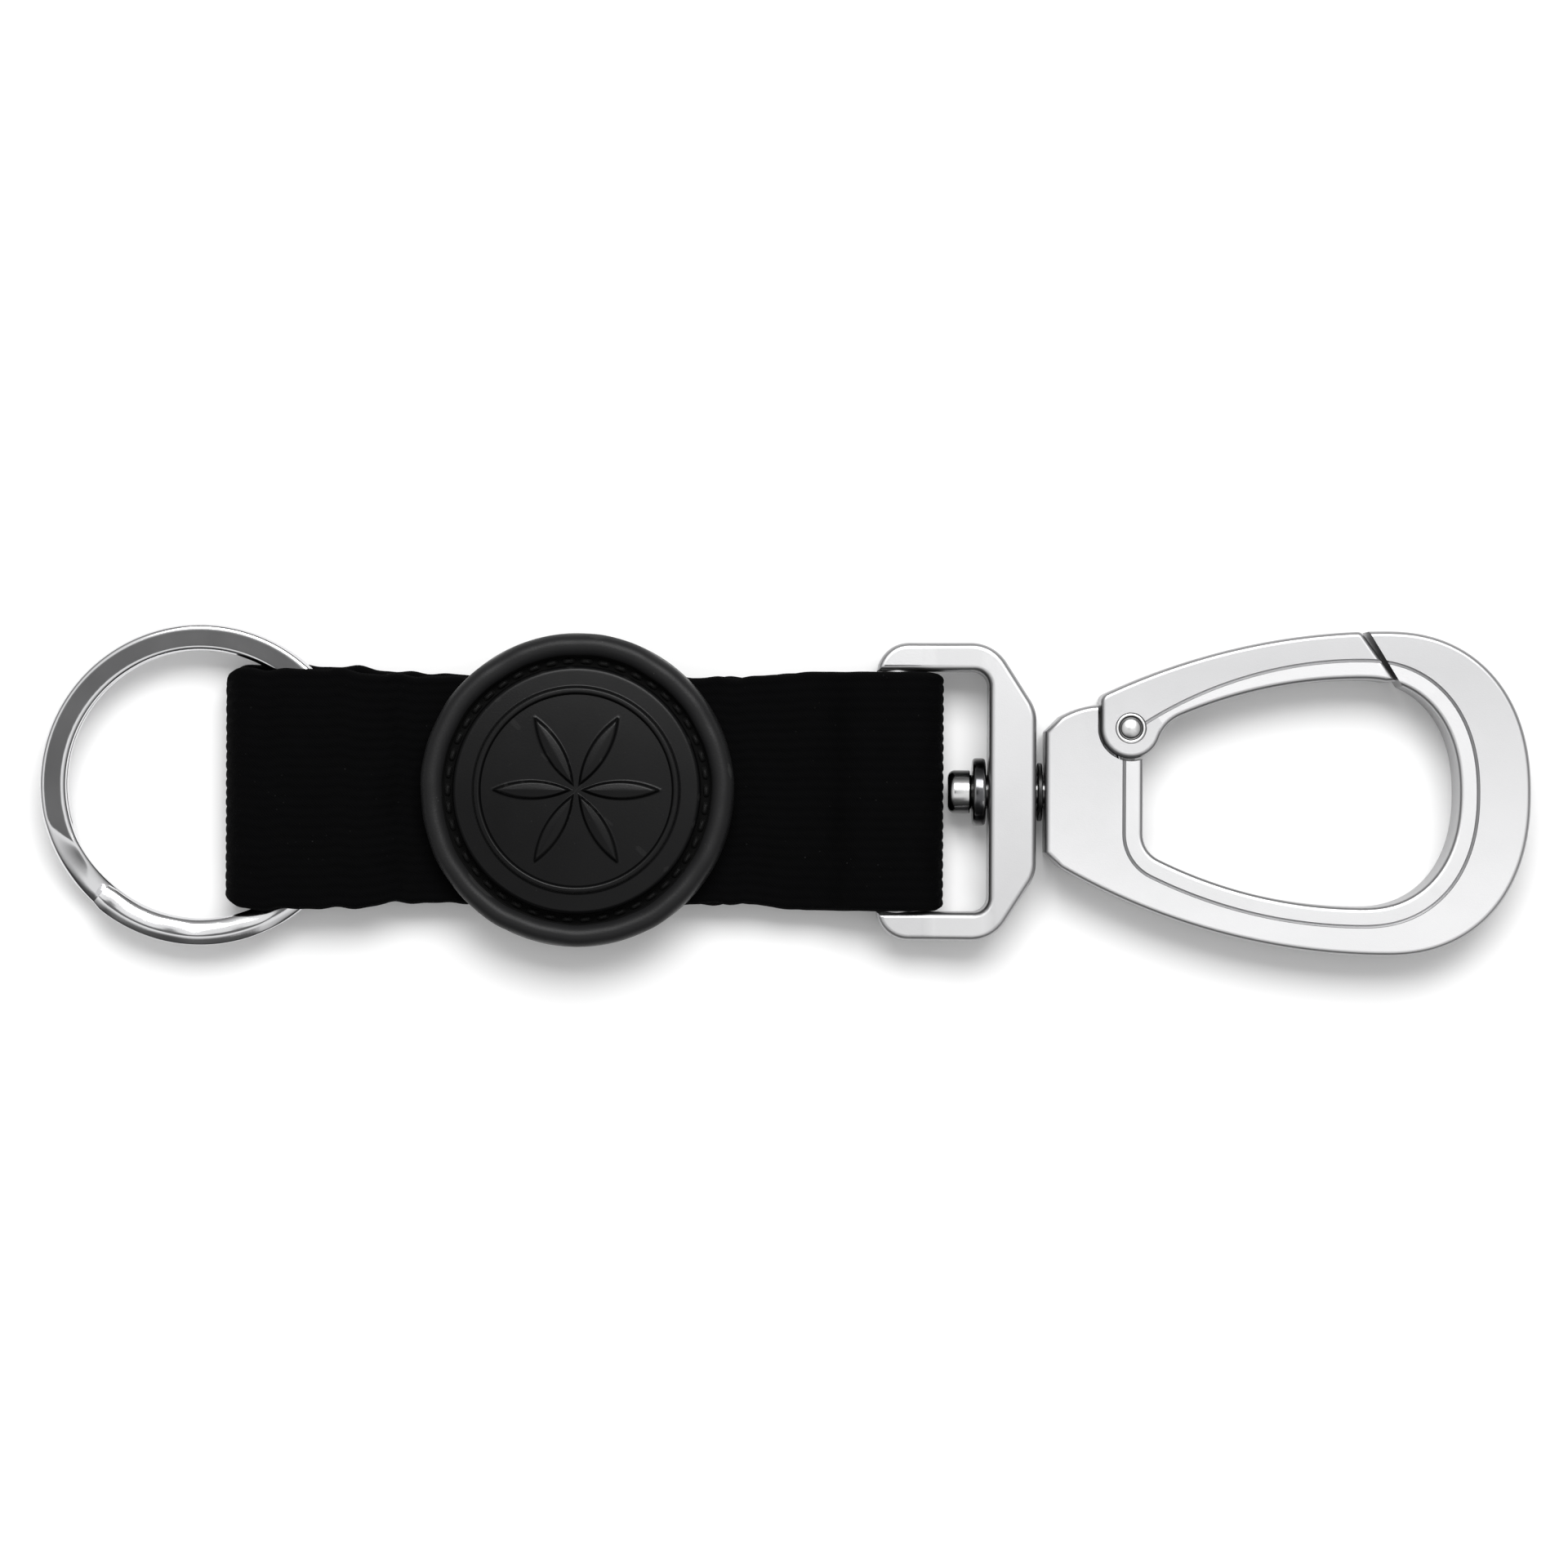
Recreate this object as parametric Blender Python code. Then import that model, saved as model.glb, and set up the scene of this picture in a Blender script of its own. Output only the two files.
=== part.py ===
"""Key cord: a doubled length of flat webbing that holds a split ring in one loop and a
swivel snap hook in the other, with a round two-part badge sewn over the lap.

The cord lies flat on its back. +X runs from the split ring to the hook, +Y is the side
that the hook's gate is on, and +Z is up, through the badge's face. The origin is under
the middle of the whole length, on the surface that the cord lies on. Units are metres.
"""

import math

import bmesh
import bpy
from mathutils import Matrix, Vector

MM = 0.001

# Fits that more than one pair of pieces shares.
SEAT_GAP = 0.25 * MM
RUNNING_GAP = 0.3 * MM

# Webbing.
WEB_WIDTH = 25.0 * MM
WEB_THICKNESS = 1.5 * MM
WEB_SELVEDGE = 0.45 * MM
WEB_BEND_RADIUS = 5.5 * MM
WEB_FREE_STRETCH = 8.3 * MM
LAP_LENGTH = 14.0 * MM
LAP_BEND_RADIUS = 3.6 * MM
LAP_END_PLAY = 1.0 * MM

# Split ring: flattened spring wire wound twice round.
RING_WIRE_WIDTH = 2.8 * MM
RING_WIRE_THICKNESS = 1.3 * MM
RING_WIRE_EDGE = 0.4 * MM
RING_TURN_GAP = 0.42 * MM
RING_SIDE_PLAY = 0.8 * MM
RING_SIDE_SHIFT = 0.4 * MM
RING_FOLD_OFFSET = 2.6 * MM
RING_JOG_DEG = 28.0
RING_END_DEG = 228.0

# Badge: a soft carrier with a raised rim, and a hard disc that is bonded inside it.
BADGE_RADIUS = 16.6 * MM
BADGE_HEIGHT = 3.4 * MM
RIM_WIDTH = 2.4 * MM
CARRIER_FLOOR = 1.2 * MM
STITCH_CHANNEL = 1.1 * MM
DISC_RISE = 0.45 * MM
DISC_EDGE = 0.5 * MM
ROSETTE_RADIUS = 9.4 * MM
ROSETTE_LEAF_INSET = 0.2 * MM
ROSETTE_RELIEF = 0.45 * MM
ROSETTE_LEAVES = 6
BAND_GAP = 0.7 * MM
BAND_WIDTH = 0.8 * MM
BAND_EASE = 0.15 * MM

# Swivel frame: the cast eye whose round bar lies in the webbing's second loop.
BAR_RADIUS = 2.0 * MM
BAR_LOOP_SLACK = 1.25 * MM
FRAME_SIDE_GAP = 0.25 * MM
FRAME_ARM_WIDTH = 3.0 * MM
FRAME_ARM_THICKNESS = 4.6 * MM
FRAME_WALL_WIDTH = 5.0 * MM
FRAME_WALL_THICKNESS = 7.2 * MM
FRAME_NOSE_FLAT = 17.4 * MM
FRAME_NOSE_SLANT = 4.5 * MM
FRAME_NOSE_ROUND = 4.0 * MM
FRAME_TAIL_LIP = 0.15 * MM
FRAME_BAR_ROOT = 0.4 * MM
FRAME_TAIL_ROUND = 3.4 * MM
FRAME_CORNER_ROUND = 4.5 * MM
FRAME_SLOT_ROUND = 1.6 * MM
FRAME_EDGE = 0.6 * MM
FRAME_THIN_SHARE = 0.35

# Swivel post and its two washers.
POST_RADIUS = 1.8 * MM
POST_HEAD_RADIUS = 2.3 * MM
POST_HEAD_LENGTH = 2.35 * MM
POST_HEAD_ROUND = 0.8 * MM
POST_HEAD_TO_WEB = 0.4 * MM
POST_FOOT_RADIUS = 2.3 * MM
POST_FOOT_LENGTH = 1.3 * MM
POST_DEPTH = 6.7 * MM
HEAD_WASHER_RADIUS = 3.6 * MM
HEAD_WASHER_THICKNESS = 1.4 * MM
THRUST_WASHER_RADIUS = 3.1 * MM
THRUST_WASHER_THICKNESS = 0.5 * MM

# Hook body: a cast pear-shaped link, flat on both faces.
HOOK_THICKNESS = 7.0 * MM
HOOK_EDGE = 0.5 * MM
HOOK_LENGTH = 51.3 * MM
HOOK_HALF_WIDTH = 17.15 * MM
HOOK_WIDEST_X = 36.0 * MM
HUB_FACE_HALF = 6.4 * MM
HUB_SHOULDER_X = 1.6 * MM
HUB_SHOULDER_HALF = 8.0 * MM
HUB_DEPTH = 10.3 * MM
BOW_POWER = 2.25
LIMB_WIDTH = 5.1 * MM
BOW_WIDTH = 7.6 * MM
OPENING_WIDEST_X = 33.5 * MM
OPENING_FLANK_RADIUS = 48.9 * MM
OPENING_CORNER_ROUND = 3.0 * MM
BORDER_OFFSET = 2.0 * MM
SHOULDER_DIP = 0.85 * MM
GROOVE_HALF_WIDTH = 0.28 * MM
GROOVE_DEPTH = 0.3 * MM

# Gate, its rivet and its spring.
PIVOT_X = 9.0 * MM
PIVOT_INSET = 4.87 * MM
KNUCKLE_RADIUS = 3.2 * MM
GROOVE_START_RISE = 0.55 * MM
KNUCKLE_FILLET = 4.0 * MM
GATE_SPINE = 1.5 * MM
GATE_CHEEK = 1.2 * MM
GATE_SLOT_LENGTH = 9.0 * MM
NOSE_OUTER_X = 34.1 * MM
NOSE_SLANT_DEG = 121.5
TIP_GAP = 0.5 * MM
TIP_GAP_OUTER = 0.9 * MM
GATE_OPEN_DEG = 32.0
LUG_RADIUS = 2.6 * MM
LUG_THICKNESS = 1.5 * MM
LUG_ROOT = 1.4 * MM
RIVET_RADIUS = 1.1 * MM
RIVET_HEAD_RADIUS = 1.6 * MM
RIVET_HEAD_HEIGHT = 0.35 * MM
RIVET_SEAT_DEPTH = 0.6 * MM
SPRING_WIRE_RADIUS = 0.2 * MM
SPRING_PITCH = 0.85 * MM
SPRING_TURNS = 2
SPRING_LEG_LENGTH = 6.3 * MM
SPRING_LEG_DEG = 29.0
SPRING_FOOT_DEG = -100.0
SPRING_FOOT_REACH = 1.0 * MM

# Facets of round work.
RIM_STEPS = 2
ROUND_STEPS = 32
BADGE_STEPS = 64
RING_STEPS = 60
FLANK_STEPS = 10
SHOULDER_STEPS = 4
BOW_STEPS = 26
CROWN_STEPS = 4

# Webbing heights above the middle plane, to the middle of its thickness.
LAYER_PITCH = WEB_THICKNESS + SEAT_GAP
LAYER_Z = LAYER_PITCH / 2
LAP_Z = -LAYER_Z - LAYER_PITCH
RING_HALF_THICKNESS = RING_WIRE_THICKNESS + RING_TURN_GAP / 2
RING_LOOP_Z = RING_HALF_THICKNESS + RUNNING_GAP + WEB_THICKNESS / 2
BAR_LOOP_Z = BAR_RADIUS + RUNNING_GAP + WEB_THICKNESS / 2


def bend_run(rise, radius):
    """Length along X of two equal and opposite bends that climb by rise."""
    return 2 * radius * math.sin(math.acos(1 - abs(rise) / (2 * radius)))


# Places along the cord, from the badge's middle.
RING_FLAT_END = -BADGE_RADIUS - SEAT_GAP
RING_LOOP_START = RING_FLAT_END - bend_run(RING_LOOP_Z - LAYER_Z, WEB_BEND_RADIUS)
FOLD_OUTER_RADIUS = RING_LOOP_Z + WEB_THICKNESS / 2
FOLD_INNER_RADIUS = RING_LOOP_Z - WEB_THICKNESS / 2
FOLD_REACH = RING_FOLD_OFFSET + FOLD_OUTER_RADIUS - math.sqrt(
    FOLD_INNER_RADIUS**2 - RING_HALF_THICKNESS**2
)
RING_INNER_RADIUS = math.hypot(FOLD_REACH, WEB_WIDTH / 2) + RING_SIDE_PLAY
RING_OUTER_RADIUS = RING_INNER_RADIUS + RING_WIRE_WIDTH
RING_X = RING_LOOP_START - RUNNING_GAP - RING_OUTER_RADIUS
RING_FOLD_X = RING_X + RING_FOLD_OFFSET + FOLD_OUTER_RADIUS
BAR_FLAT_END = BADGE_RADIUS + WEB_FREE_STRETCH
BAR_LOOP_START = BAR_FLAT_END + bend_run(BAR_LOOP_Z - LAYER_Z, WEB_BEND_RADIUS)
BAR_X = BAR_LOOP_START + RUNNING_GAP + BAR_RADIUS
BAR_FOLD_X = BAR_X + BAR_LOOP_SLACK
POST_HEAD_X = BAR_FOLD_X + BAR_LOOP_Z + WEB_THICKNESS / 2 + POST_HEAD_TO_WEB
HEAD_WASHER_X = POST_HEAD_X + POST_HEAD_LENGTH + SEAT_GAP
FRAME_WALL_X = HEAD_WASHER_X + HEAD_WASHER_THICKNESS + SEAT_GAP
THRUST_WASHER_X = FRAME_WALL_X + FRAME_WALL_WIDTH + SEAT_GAP
HOOK_X = THRUST_WASHER_X + THRUST_WASHER_THICKNESS + SEAT_GAP
MIDDLE_X = (RING_X - RING_OUTER_RADIUS + HOOK_X + HOOK_LENGTH) / 2
RIVET_HEAD_BASE = HOOK_THICKNESS / 2 - RIVET_SEAT_DEPTH + SEAT_GAP
REST_HEIGHT = max(
    BAR_LOOP_Z + WEB_THICKNESS / 2,
    RING_LOOP_Z + WEB_THICKNESS / 2,
    WEB_THICKNESS / 2 - LAP_Z,
    FRAME_WALL_THICKNESS / 2,
    HEAD_WASHER_RADIUS,
    HOOK_THICKNESS / 2,
    RIVET_HEAD_BASE + RIVET_HEAD_HEIGHT,
)

# Circles that shape the hook, in the hook's own frame: its hub face is at X = 0.
FLANK_RISE = HOOK_HALF_WIDTH - HUB_SHOULDER_HALF
FLANK_RUN = HOOK_WIDEST_X - HUB_SHOULDER_X
FLANK_RADIUS = (FLANK_RUN**2 + FLANK_RISE**2) / (2 * FLANK_RISE)
FLANK_CENTRE_Y = HOOK_HALF_WIDTH - FLANK_RADIUS
FLANK_CENTRE = Vector((HOOK_WIDEST_X, FLANK_CENTRE_Y))
OPENING_HALF_WIDTH = HOOK_HALF_WIDTH - LIMB_WIDTH
OPENING_END_X = HOOK_LENGTH - BOW_WIDTH
GATE_SLOT_HALF = HOOK_THICKNESS / 2 - GATE_CHEEK
PIVOT_Y = FLANK_CENTRE_Y + math.sqrt(FLANK_RADIUS**2 - (HOOK_WIDEST_X - PIVOT_X) ** 2) - PIVOT_INSET
PIVOT = Vector((PIVOT_X, PIVOT_Y))


def start_scene():
    """Empties the scene and returns the empty that carries the whole cord."""
    for obj in list(bpy.data.objects):
        bpy.data.objects.remove(obj)
    cord = bpy.data.objects.new("key_cord", None)
    cord.location = (-MIDDLE_X, 0, REST_HEIGHT)
    bpy.context.scene.collection.objects.link(cord)
    return cord


def finish(name, colour, roughness, metallic=0.0):
    """A material with one colour, roughness and metallic value."""
    material = bpy.data.materials.new(name)
    material.use_nodes = True
    shader = material.node_tree.nodes["Principled BSDF"]
    shader.inputs["Base Color"].default_value = (*colour, 1)
    shader.inputs["Roughness"].default_value = roughness
    shader.inputs["Metallic"].default_value = metallic
    return material


def place(name, mesh, parent, location=(0, 0, 0), material=None):
    """Links a mesh as one named piece, smooth on its round faces."""
    obj = bpy.data.objects.new(name, mesh)
    bpy.context.scene.collection.objects.link(obj)
    obj.parent = parent
    obj.location = location
    if material is not None:
        mesh.materials.append(material)
    mesh.shade_smooth()
    mesh.set_sharp_from_angle(angle=math.radians(32))
    return obj


def mesh_from(bm, name):
    """Turns a bmesh into a mesh whose faces point out."""
    bmesh.ops.recalc_face_normals(bm, faces=bm.faces)
    mesh = bpy.data.meshes.new(name)
    bm.to_mesh(mesh)
    bm.free()
    return mesh


def arc(centre, radius, start_deg, end_deg, steps):
    """Points of an arc in the plane, both ends included."""
    angles = [math.radians(start_deg + (end_deg - start_deg) * i / steps) for i in range(steps + 1)]
    return [Vector(centre) + radius * Vector((math.cos(a), math.sin(a))) for a in angles]


def heading(vector):
    """Direction of a plane vector, in degrees."""
    return math.degrees(math.atan2(vector.y, vector.x))


def rounded(corners, steps=5):
    """Outline through (x, y, radius) corners, each one rounded by its radius."""
    outline = []
    for i, (x, y, radius) in enumerate(corners):
        corner = Vector((x, y))
        before = (Vector(corners[i - 1][:2]) - corner).normalized()
        after = (Vector(corners[(i + 1) % len(corners)][:2]) - corner).normalized()
        half = before.angle(after) / 2
        centre = corner + (before + after).normalized() * radius / math.sin(half)
        first = corner + before * radius / math.tan(half) - centre
        last = corner + after * radius / math.tan(half) - centre
        turn = (heading(last) - heading(first) + 180) % 360 - 180
        outline += arc(centre, radius, heading(first), heading(first) + turn, steps)
    return outline


def inset(loop, distance):
    """A closed outline moved inwards by the distance, or outwards by a negative one."""
    following = loop[1:] + loop[:1]
    side = math.copysign(1, sum(a.cross(b) for a, b in zip(loop, following)))
    moved = []
    for i, point in enumerate(loop):
        before = (point - loop[i - 1]).normalized()
        after = (following[i] - point).normalized()
        inward = side * Vector((-after.y, after.x))
        middle = (inward + side * Vector((-before.y, before.x))).normalized()
        moved.append(point + middle * distance / middle.dot(inward))
    return moved


def rim_levels(thickness, edge):
    """(inset, height) of each ring of a rim, from the lower face to the upper."""
    if edge == 0:
        return [(0, -thickness / 2), (0, thickness / 2)]
    turns = [math.pi / 2 * i / RIM_STEPS for i in range(RIM_STEPS + 1)]
    lower = [(edge * (1 - math.sin(a)), edge * (1 - math.cos(a)) - thickness / 2) for a in turns]
    return lower + [(across, -z) for across, z in reversed(lower)]


def plate(name, outline, thickness, hole=None, middle_z=0.0, edge=0.0):
    """A flat plate with rims rounded by edge and one optional hole, centred on middle_z."""
    bm = bmesh.new()
    caps = [[], []]
    for loop, inwards in [(outline, 1), (hole, -1)]:
        if loop is None:
            continue
        rings = [
            [bm.verts.new((p.x, p.y, middle_z + z)) for p in inset(loop, inwards * across)]
            for across, z in rim_levels(thickness, edge)
        ]
        for ring, following in zip(rings, rings[1:]):
            for i in range(len(ring)):
                bm.faces.new((ring[i - 1], ring[i], following[i], following[i - 1]))
        for cap, ring in zip(caps, (rings[0], rings[-1])):
            cap += [bm.edges.get((ring[i - 1], ring[i])) for i in range(len(ring))]
    for cap in caps:
        bmesh.ops.triangle_fill(bm, edges=cap, use_beauty=True)
    return mesh_from(bm, name)


def turned(name, profile, axis, steps=ROUND_STEPS):
    """A turned piece from (along, radius) points, flats facing Y. Axis is "X" or "Z"."""
    bm = bmesh.new()
    points = [(a, r, 0) if axis == "X" else (r, 0, a) for a, r in profile]
    verts = [bm.verts.new(p) for p in points]
    edges = [bm.edges.new((verts[i - 1], verts[i])) for i in range(1, len(verts))]
    if profile[0][1] > 0:
        edges.append(bm.edges.new((verts[-1], verts[0])))
    spin_axis = (1, 0, 0) if axis == "X" else (0, 0, 1)
    bmesh.ops.spin(
        bm, geom=verts + edges, cent=(0, 0, 0), axis=spin_axis,
        angle=2 * math.pi, steps=steps, use_merge=True,
    )
    bmesh.ops.remove_doubles(bm, verts=bm.verts, dist=0.001 * MM)
    half_step = Matrix.Rotation(math.pi / steps, 3, axis)
    bmesh.ops.rotate(bm, verts=bm.verts, cent=(0, 0, 0), matrix=half_step)
    return mesh_from(bm, name)


def swept(name, frames, section):
    """A bar with the given section, carried along (point, across, up) frames."""
    bm = bmesh.new()
    rings = [
        [bm.verts.new(point + across * a + up * b) for a, b in section]
        for point, across, up in frames
    ]
    for ring, following in zip(rings, rings[1:]):
        for i in range(len(section)):
            bm.faces.new((ring[i - 1], ring[i], following[i], following[i - 1]))
    bm.faces.new(rings[0])
    bm.faces.new(rings[-1])
    return mesh_from(bm, name)


def eased_section(width, thickness, edge):
    """A rectangle with its corners cut off, as (across, up) pairs."""
    w, t = width / 2, thickness / 2
    return [
        (w - edge, -t), (w, edge - t), (w, t - edge), (w - edge, t),
        (edge - w, t), (-w, t - edge), (-w, edge - t), (edge - w, -t),
    ]


def print_least_gap(name, line, turn_points, wire):
    """Prints the least gap between stretches of a wound wire that lie half a turn or more apart."""
    least = min(
        (line[i] - line[j]).length
        for i in range(len(line))
        for j in range(i + turn_points // 2, len(line))
    )
    print(f"{name}: least gap between its turns {(least - wire) / MM:.2f} mm")


def combine(obj, tool, operation="DIFFERENCE"):
    """Cuts a hidden tool from a piece, or joins it on."""
    tool.hide_render = True
    tool.display_type = "WIRE"
    boolean = obj.modifiers.new(tool.name, "BOOLEAN")
    boolean.operation = operation
    boolean.object = tool
    boolean.solver = "EXACT"


# Webbing.


def s_bend(start, end_z, radius, forward, steps=5):
    """Two opposite bends from a level stretch at start to a level stretch at end_z."""
    rise = end_z - start[1]
    lean = math.degrees(math.acos(1 - abs(rise) / (2 * radius)))
    side = math.copysign(1, rise)
    run = bend_run(rise, radius) * forward
    first = [
        (start[0] + forward * radius * math.sin(math.radians(lean * i / steps)),
         start[1] + side * radius * (1 - math.cos(math.radians(lean * i / steps))))
        for i in range(steps + 1)
    ]
    second = [(2 * start[0] + run - x, start[1] + end_z - z) for x, z in reversed(first)]
    return first + second[1:]


def u_turn(centre_x, half_height, forward, from_top, steps=12):
    """Half a turn round a fold, from one layer to the other."""
    start = 90 if from_top else -90
    points = arc((0, 0), half_height, start, start - 180 * (1 if from_top else -1), steps)
    return [(centre_x + forward * abs(p.x), p.y) for p in points]


def webbing_line():
    """The middle of the webbing's thickness as (x, z), from the lap's lower end to its upper."""
    lap_half = LAP_LENGTH / 2
    line = [(-lap_half, LAP_Z)]
    line += s_bend((lap_half + LAP_END_PLAY, LAP_Z), -LAYER_Z, LAP_BEND_RADIUS, 1)
    line += s_bend((BAR_FLAT_END, -LAYER_Z), -BAR_LOOP_Z, WEB_BEND_RADIUS, 1)
    line += u_turn(BAR_FOLD_X, BAR_LOOP_Z, 1, from_top=False)
    line += s_bend((BAR_LOOP_START, BAR_LOOP_Z), LAYER_Z, WEB_BEND_RADIUS, -1)
    line += s_bend((RING_FLAT_END, LAYER_Z), RING_LOOP_Z, WEB_BEND_RADIUS, -1)
    line += u_turn(RING_FOLD_X, RING_LOOP_Z, -1, from_top=True)
    line += s_bend((RING_LOOP_START, -RING_LOOP_Z), -LAYER_Z, WEB_BEND_RADIUS, 1)
    line.append((lap_half, -LAYER_Z))
    return line


def make_webbing(parent, material):
    """One length of webbing: both loops, and its two ends lapped under the badge."""
    line = [Vector((x, 0, z)) for x, z in webbing_line()]
    frames = []
    for i, point in enumerate(line):
        ahead = line[min(i + 1, len(line) - 1)]
        behind = line[max(i - 1, 0)]
        along = (ahead - behind).normalized()
        frames.append((point, Vector((0, 1, 0)), Vector((-along.z, 0, along.x))))
    section = eased_section(WEB_WIDTH, WEB_THICKNESS, WEB_SELVEDGE)
    place("webbing_strap", swept("webbing", frames, section), parent, (0, 0, 0), material)


# Split ring.


def make_split_ring(parent, material):
    """Two turns of flattened wire. The jog fills the space between the wire's two ends."""
    jog = math.radians(RING_JOG_DEG)
    sweep = 4 * math.pi - jog
    steps = 2 * RING_STEPS
    layer = (RING_WIRE_THICKNESS + RING_TURN_GAP) / 2
    middle_radius = RING_INNER_RADIUS + RING_WIRE_WIDTH / 2
    frames = []
    for i in range(steps + 1):
        turned_by = sweep * i / steps
        share = min(max((turned_by - 2 * math.pi + jog) / jog, 0), 1)
        drop = share * share * (3 - 2 * share)
        angle = math.radians(RING_END_DEG) + turned_by
        outward = Vector((math.cos(angle), math.sin(angle), 0))
        height = Vector((0, 0, layer * (1 - 2 * drop)))
        frames.append((outward * middle_radius + height, outward, Vector((0, 0, 1))))
    section = eased_section(RING_WIRE_WIDTH, RING_WIRE_THICKNESS, RING_WIRE_EDGE)
    print_least_gap("split_ring", [frame[0] for frame in frames], RING_STEPS, RING_WIRE_THICKNESS)
    ring = swept("split_ring", frames, section)
    place("split_ring", ring, parent, (RING_X, RING_SIDE_SHIFT, 0), material)


# Badge.


def make_badge(parent, carrier_material, disc_material):
    """The carrier is a shallow cup with a round rim. The disc fills it, less the stitch channel."""
    base_z = LAYER_Z + WEB_THICKNESS / 2 + SEAT_GAP
    rim_middle = BADGE_RADIUS - RIM_WIDTH / 2
    rim_top = arc((rim_middle, BADGE_HEIGHT - RIM_WIDTH / 2), RIM_WIDTH / 2, 0, 180, 6)
    cup_radius = BADGE_RADIUS - RIM_WIDTH
    profile = [(0, 0), (0, BADGE_RADIUS - DISC_EDGE), (DISC_EDGE, BADGE_RADIUS)]
    profile += [(p.y, p.x) for p in rim_top]
    profile += [(CARRIER_FLOOR, cup_radius), (CARRIER_FLOOR, 0)]
    mesh = turned("badge_carrier", profile, "Z", BADGE_STEPS)
    place("badge_carrier", mesh, parent, (0, 0, base_z), carrier_material)

    disc_radius = cup_radius - STITCH_CHANNEL
    disc_base = CARRIER_FLOOR + SEAT_GAP
    disc_edge_z = BADGE_HEIGHT - disc_base
    crown_radius = (disc_radius**2 + DISC_RISE**2) / (2 * DISC_RISE)

    def crown(radius, relief=0.0):
        drop = crown_radius - math.sqrt(crown_radius**2 - radius**2)
        return disc_edge_z + DISC_RISE - drop + relief, radius

    inner = ROSETTE_RADIUS + BAND_GAP
    outer = inner + BAND_WIDTH
    profile = [(0, 0), (0, disc_radius), (disc_edge_z - DISC_EDGE, disc_radius)]
    profile += [crown(disc_radius - DISC_EDGE), crown(outer)]
    profile += [crown(outer - BAND_EASE, ROSETTE_RELIEF), crown(inner + BAND_EASE, ROSETTE_RELIEF)]
    profile += [crown(inner * i / CROWN_STEPS) for i in range(CROWN_STEPS, -1, -1)]
    mesh = turned("badge_disc", profile, "Z", BADGE_STEPS)
    disc = place("badge_disc", mesh, parent, (0, 0, base_z + disc_base), disc_material)
    for number in range(ROSETTE_LEAVES):
        combine(disc, make_leaf(disc, number, disc_edge_z), "UNION")


def make_leaf(disc, number, disc_edge_z):
    """One leaf of the rosette: two arcs that would meet at the disc's middle, set in a little."""
    tip_angle = math.pi / ROSETTE_LEAVES
    side_radius = ROSETTE_RADIUS / 2 / math.sin(tip_angle)
    drop = side_radius * math.cos(tip_angle) + ROSETTE_LEAF_INSET
    spread = math.degrees(math.acos(drop / side_radius))
    upper = arc((0, -drop), side_radius, 90 - spread, 90 + spread, 6)
    lower = [Vector((-p.x, -p.y)) for p in upper]
    leaf_top = disc_edge_z + DISC_RISE + ROSETTE_RELIEF
    outline = upper + lower[1:-1]
    mesh = plate(f"leaf_{number}", outline, leaf_top / 2, middle_z=leaf_top * 0.75)
    turn = 2 * math.pi * number / ROSETTE_LEAVES
    middle = ROSETTE_RADIUS / 2 * Vector((math.cos(turn), math.sin(turn), 0))
    leaf = place(f"leaf_{number}", mesh, disc, middle)
    leaf.rotation_euler.z = turn
    return leaf


# Swivel frame.


def make_swivel_frame(parent, material):
    """A cast eye: round bar at the webbing, two slim arms, and a thick wall for the post."""
    slot_half = WEB_WIDTH / 2 + FRAME_SIDE_GAP
    half = slot_half + FRAME_ARM_WIDTH
    wall_x = FRAME_WALL_X - BAR_X
    nose_x = wall_x + FRAME_WALL_WIDTH
    mesh = plate("swivel_frame", frame_outline(wall_x, nose_x), FRAME_WALL_THICKNESS, edge=FRAME_EDGE)
    thin_arms(mesh, FRAME_THIN_SHARE * wall_x, wall_x)
    frame = place("swivel_frame", mesh, parent, (BAR_X, 0, 0), material)

    bar_length = 2 * (slot_half + FRAME_BAR_ROOT)
    bar = plate("frame_bar", arc((0, 0), BAR_RADIUS, 0, 337.5, 15), bar_length)
    bar_tool = place("frame_bar", bar, frame)
    bar_tool.rotation_euler.x = math.pi / 2
    combine(frame, bar_tool, "UNION")

    bore_radius = POST_RADIUS + RUNNING_GAP
    bore = [(wall_x - MM, 0), (wall_x - MM, bore_radius), (nose_x + MM, bore_radius), (nose_x + MM, 0)]
    combine(frame, place("frame_bore", turned("frame_bore", bore, "X"), frame))
    return frame


def frame_outline(wall_x, nose_x):
    """The frame's U, from its upper tail round the nose, and back along the slot."""
    slot_half = WEB_WIDTH / 2 + FRAME_SIDE_GAP
    half = slot_half + FRAME_ARM_WIDTH
    tail_x = -BAR_RADIUS - FRAME_TAIL_LIP
    side = [
        (tail_x, half, FRAME_TAIL_ROUND),
        (nose_x - FRAME_NOSE_SLANT, half, FRAME_CORNER_ROUND),
        (nose_x, FRAME_NOSE_FLAT / 2, FRAME_NOSE_ROUND),
    ]
    outer = rounded(side + [(x, -y, r) for x, y, r in reversed(side)])
    outer = [p for p in outer if abs(p.y) > slot_half + FRAME_EDGE or p.x > wall_x]
    sunk = max(slot_half + FRAME_TAIL_ROUND - half, 0)
    tip = Vector((tail_x + FRAME_TAIL_ROUND - math.sqrt(FRAME_TAIL_ROUND**2 - sunk**2), slot_half))
    corner = (wall_x - FRAME_SLOT_ROUND, slot_half - FRAME_SLOT_ROUND)
    slot = arc(corner, FRAME_SLOT_ROUND, 0, 90, 5) + [tip]
    return outer + mirrored(slot) + slot


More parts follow.
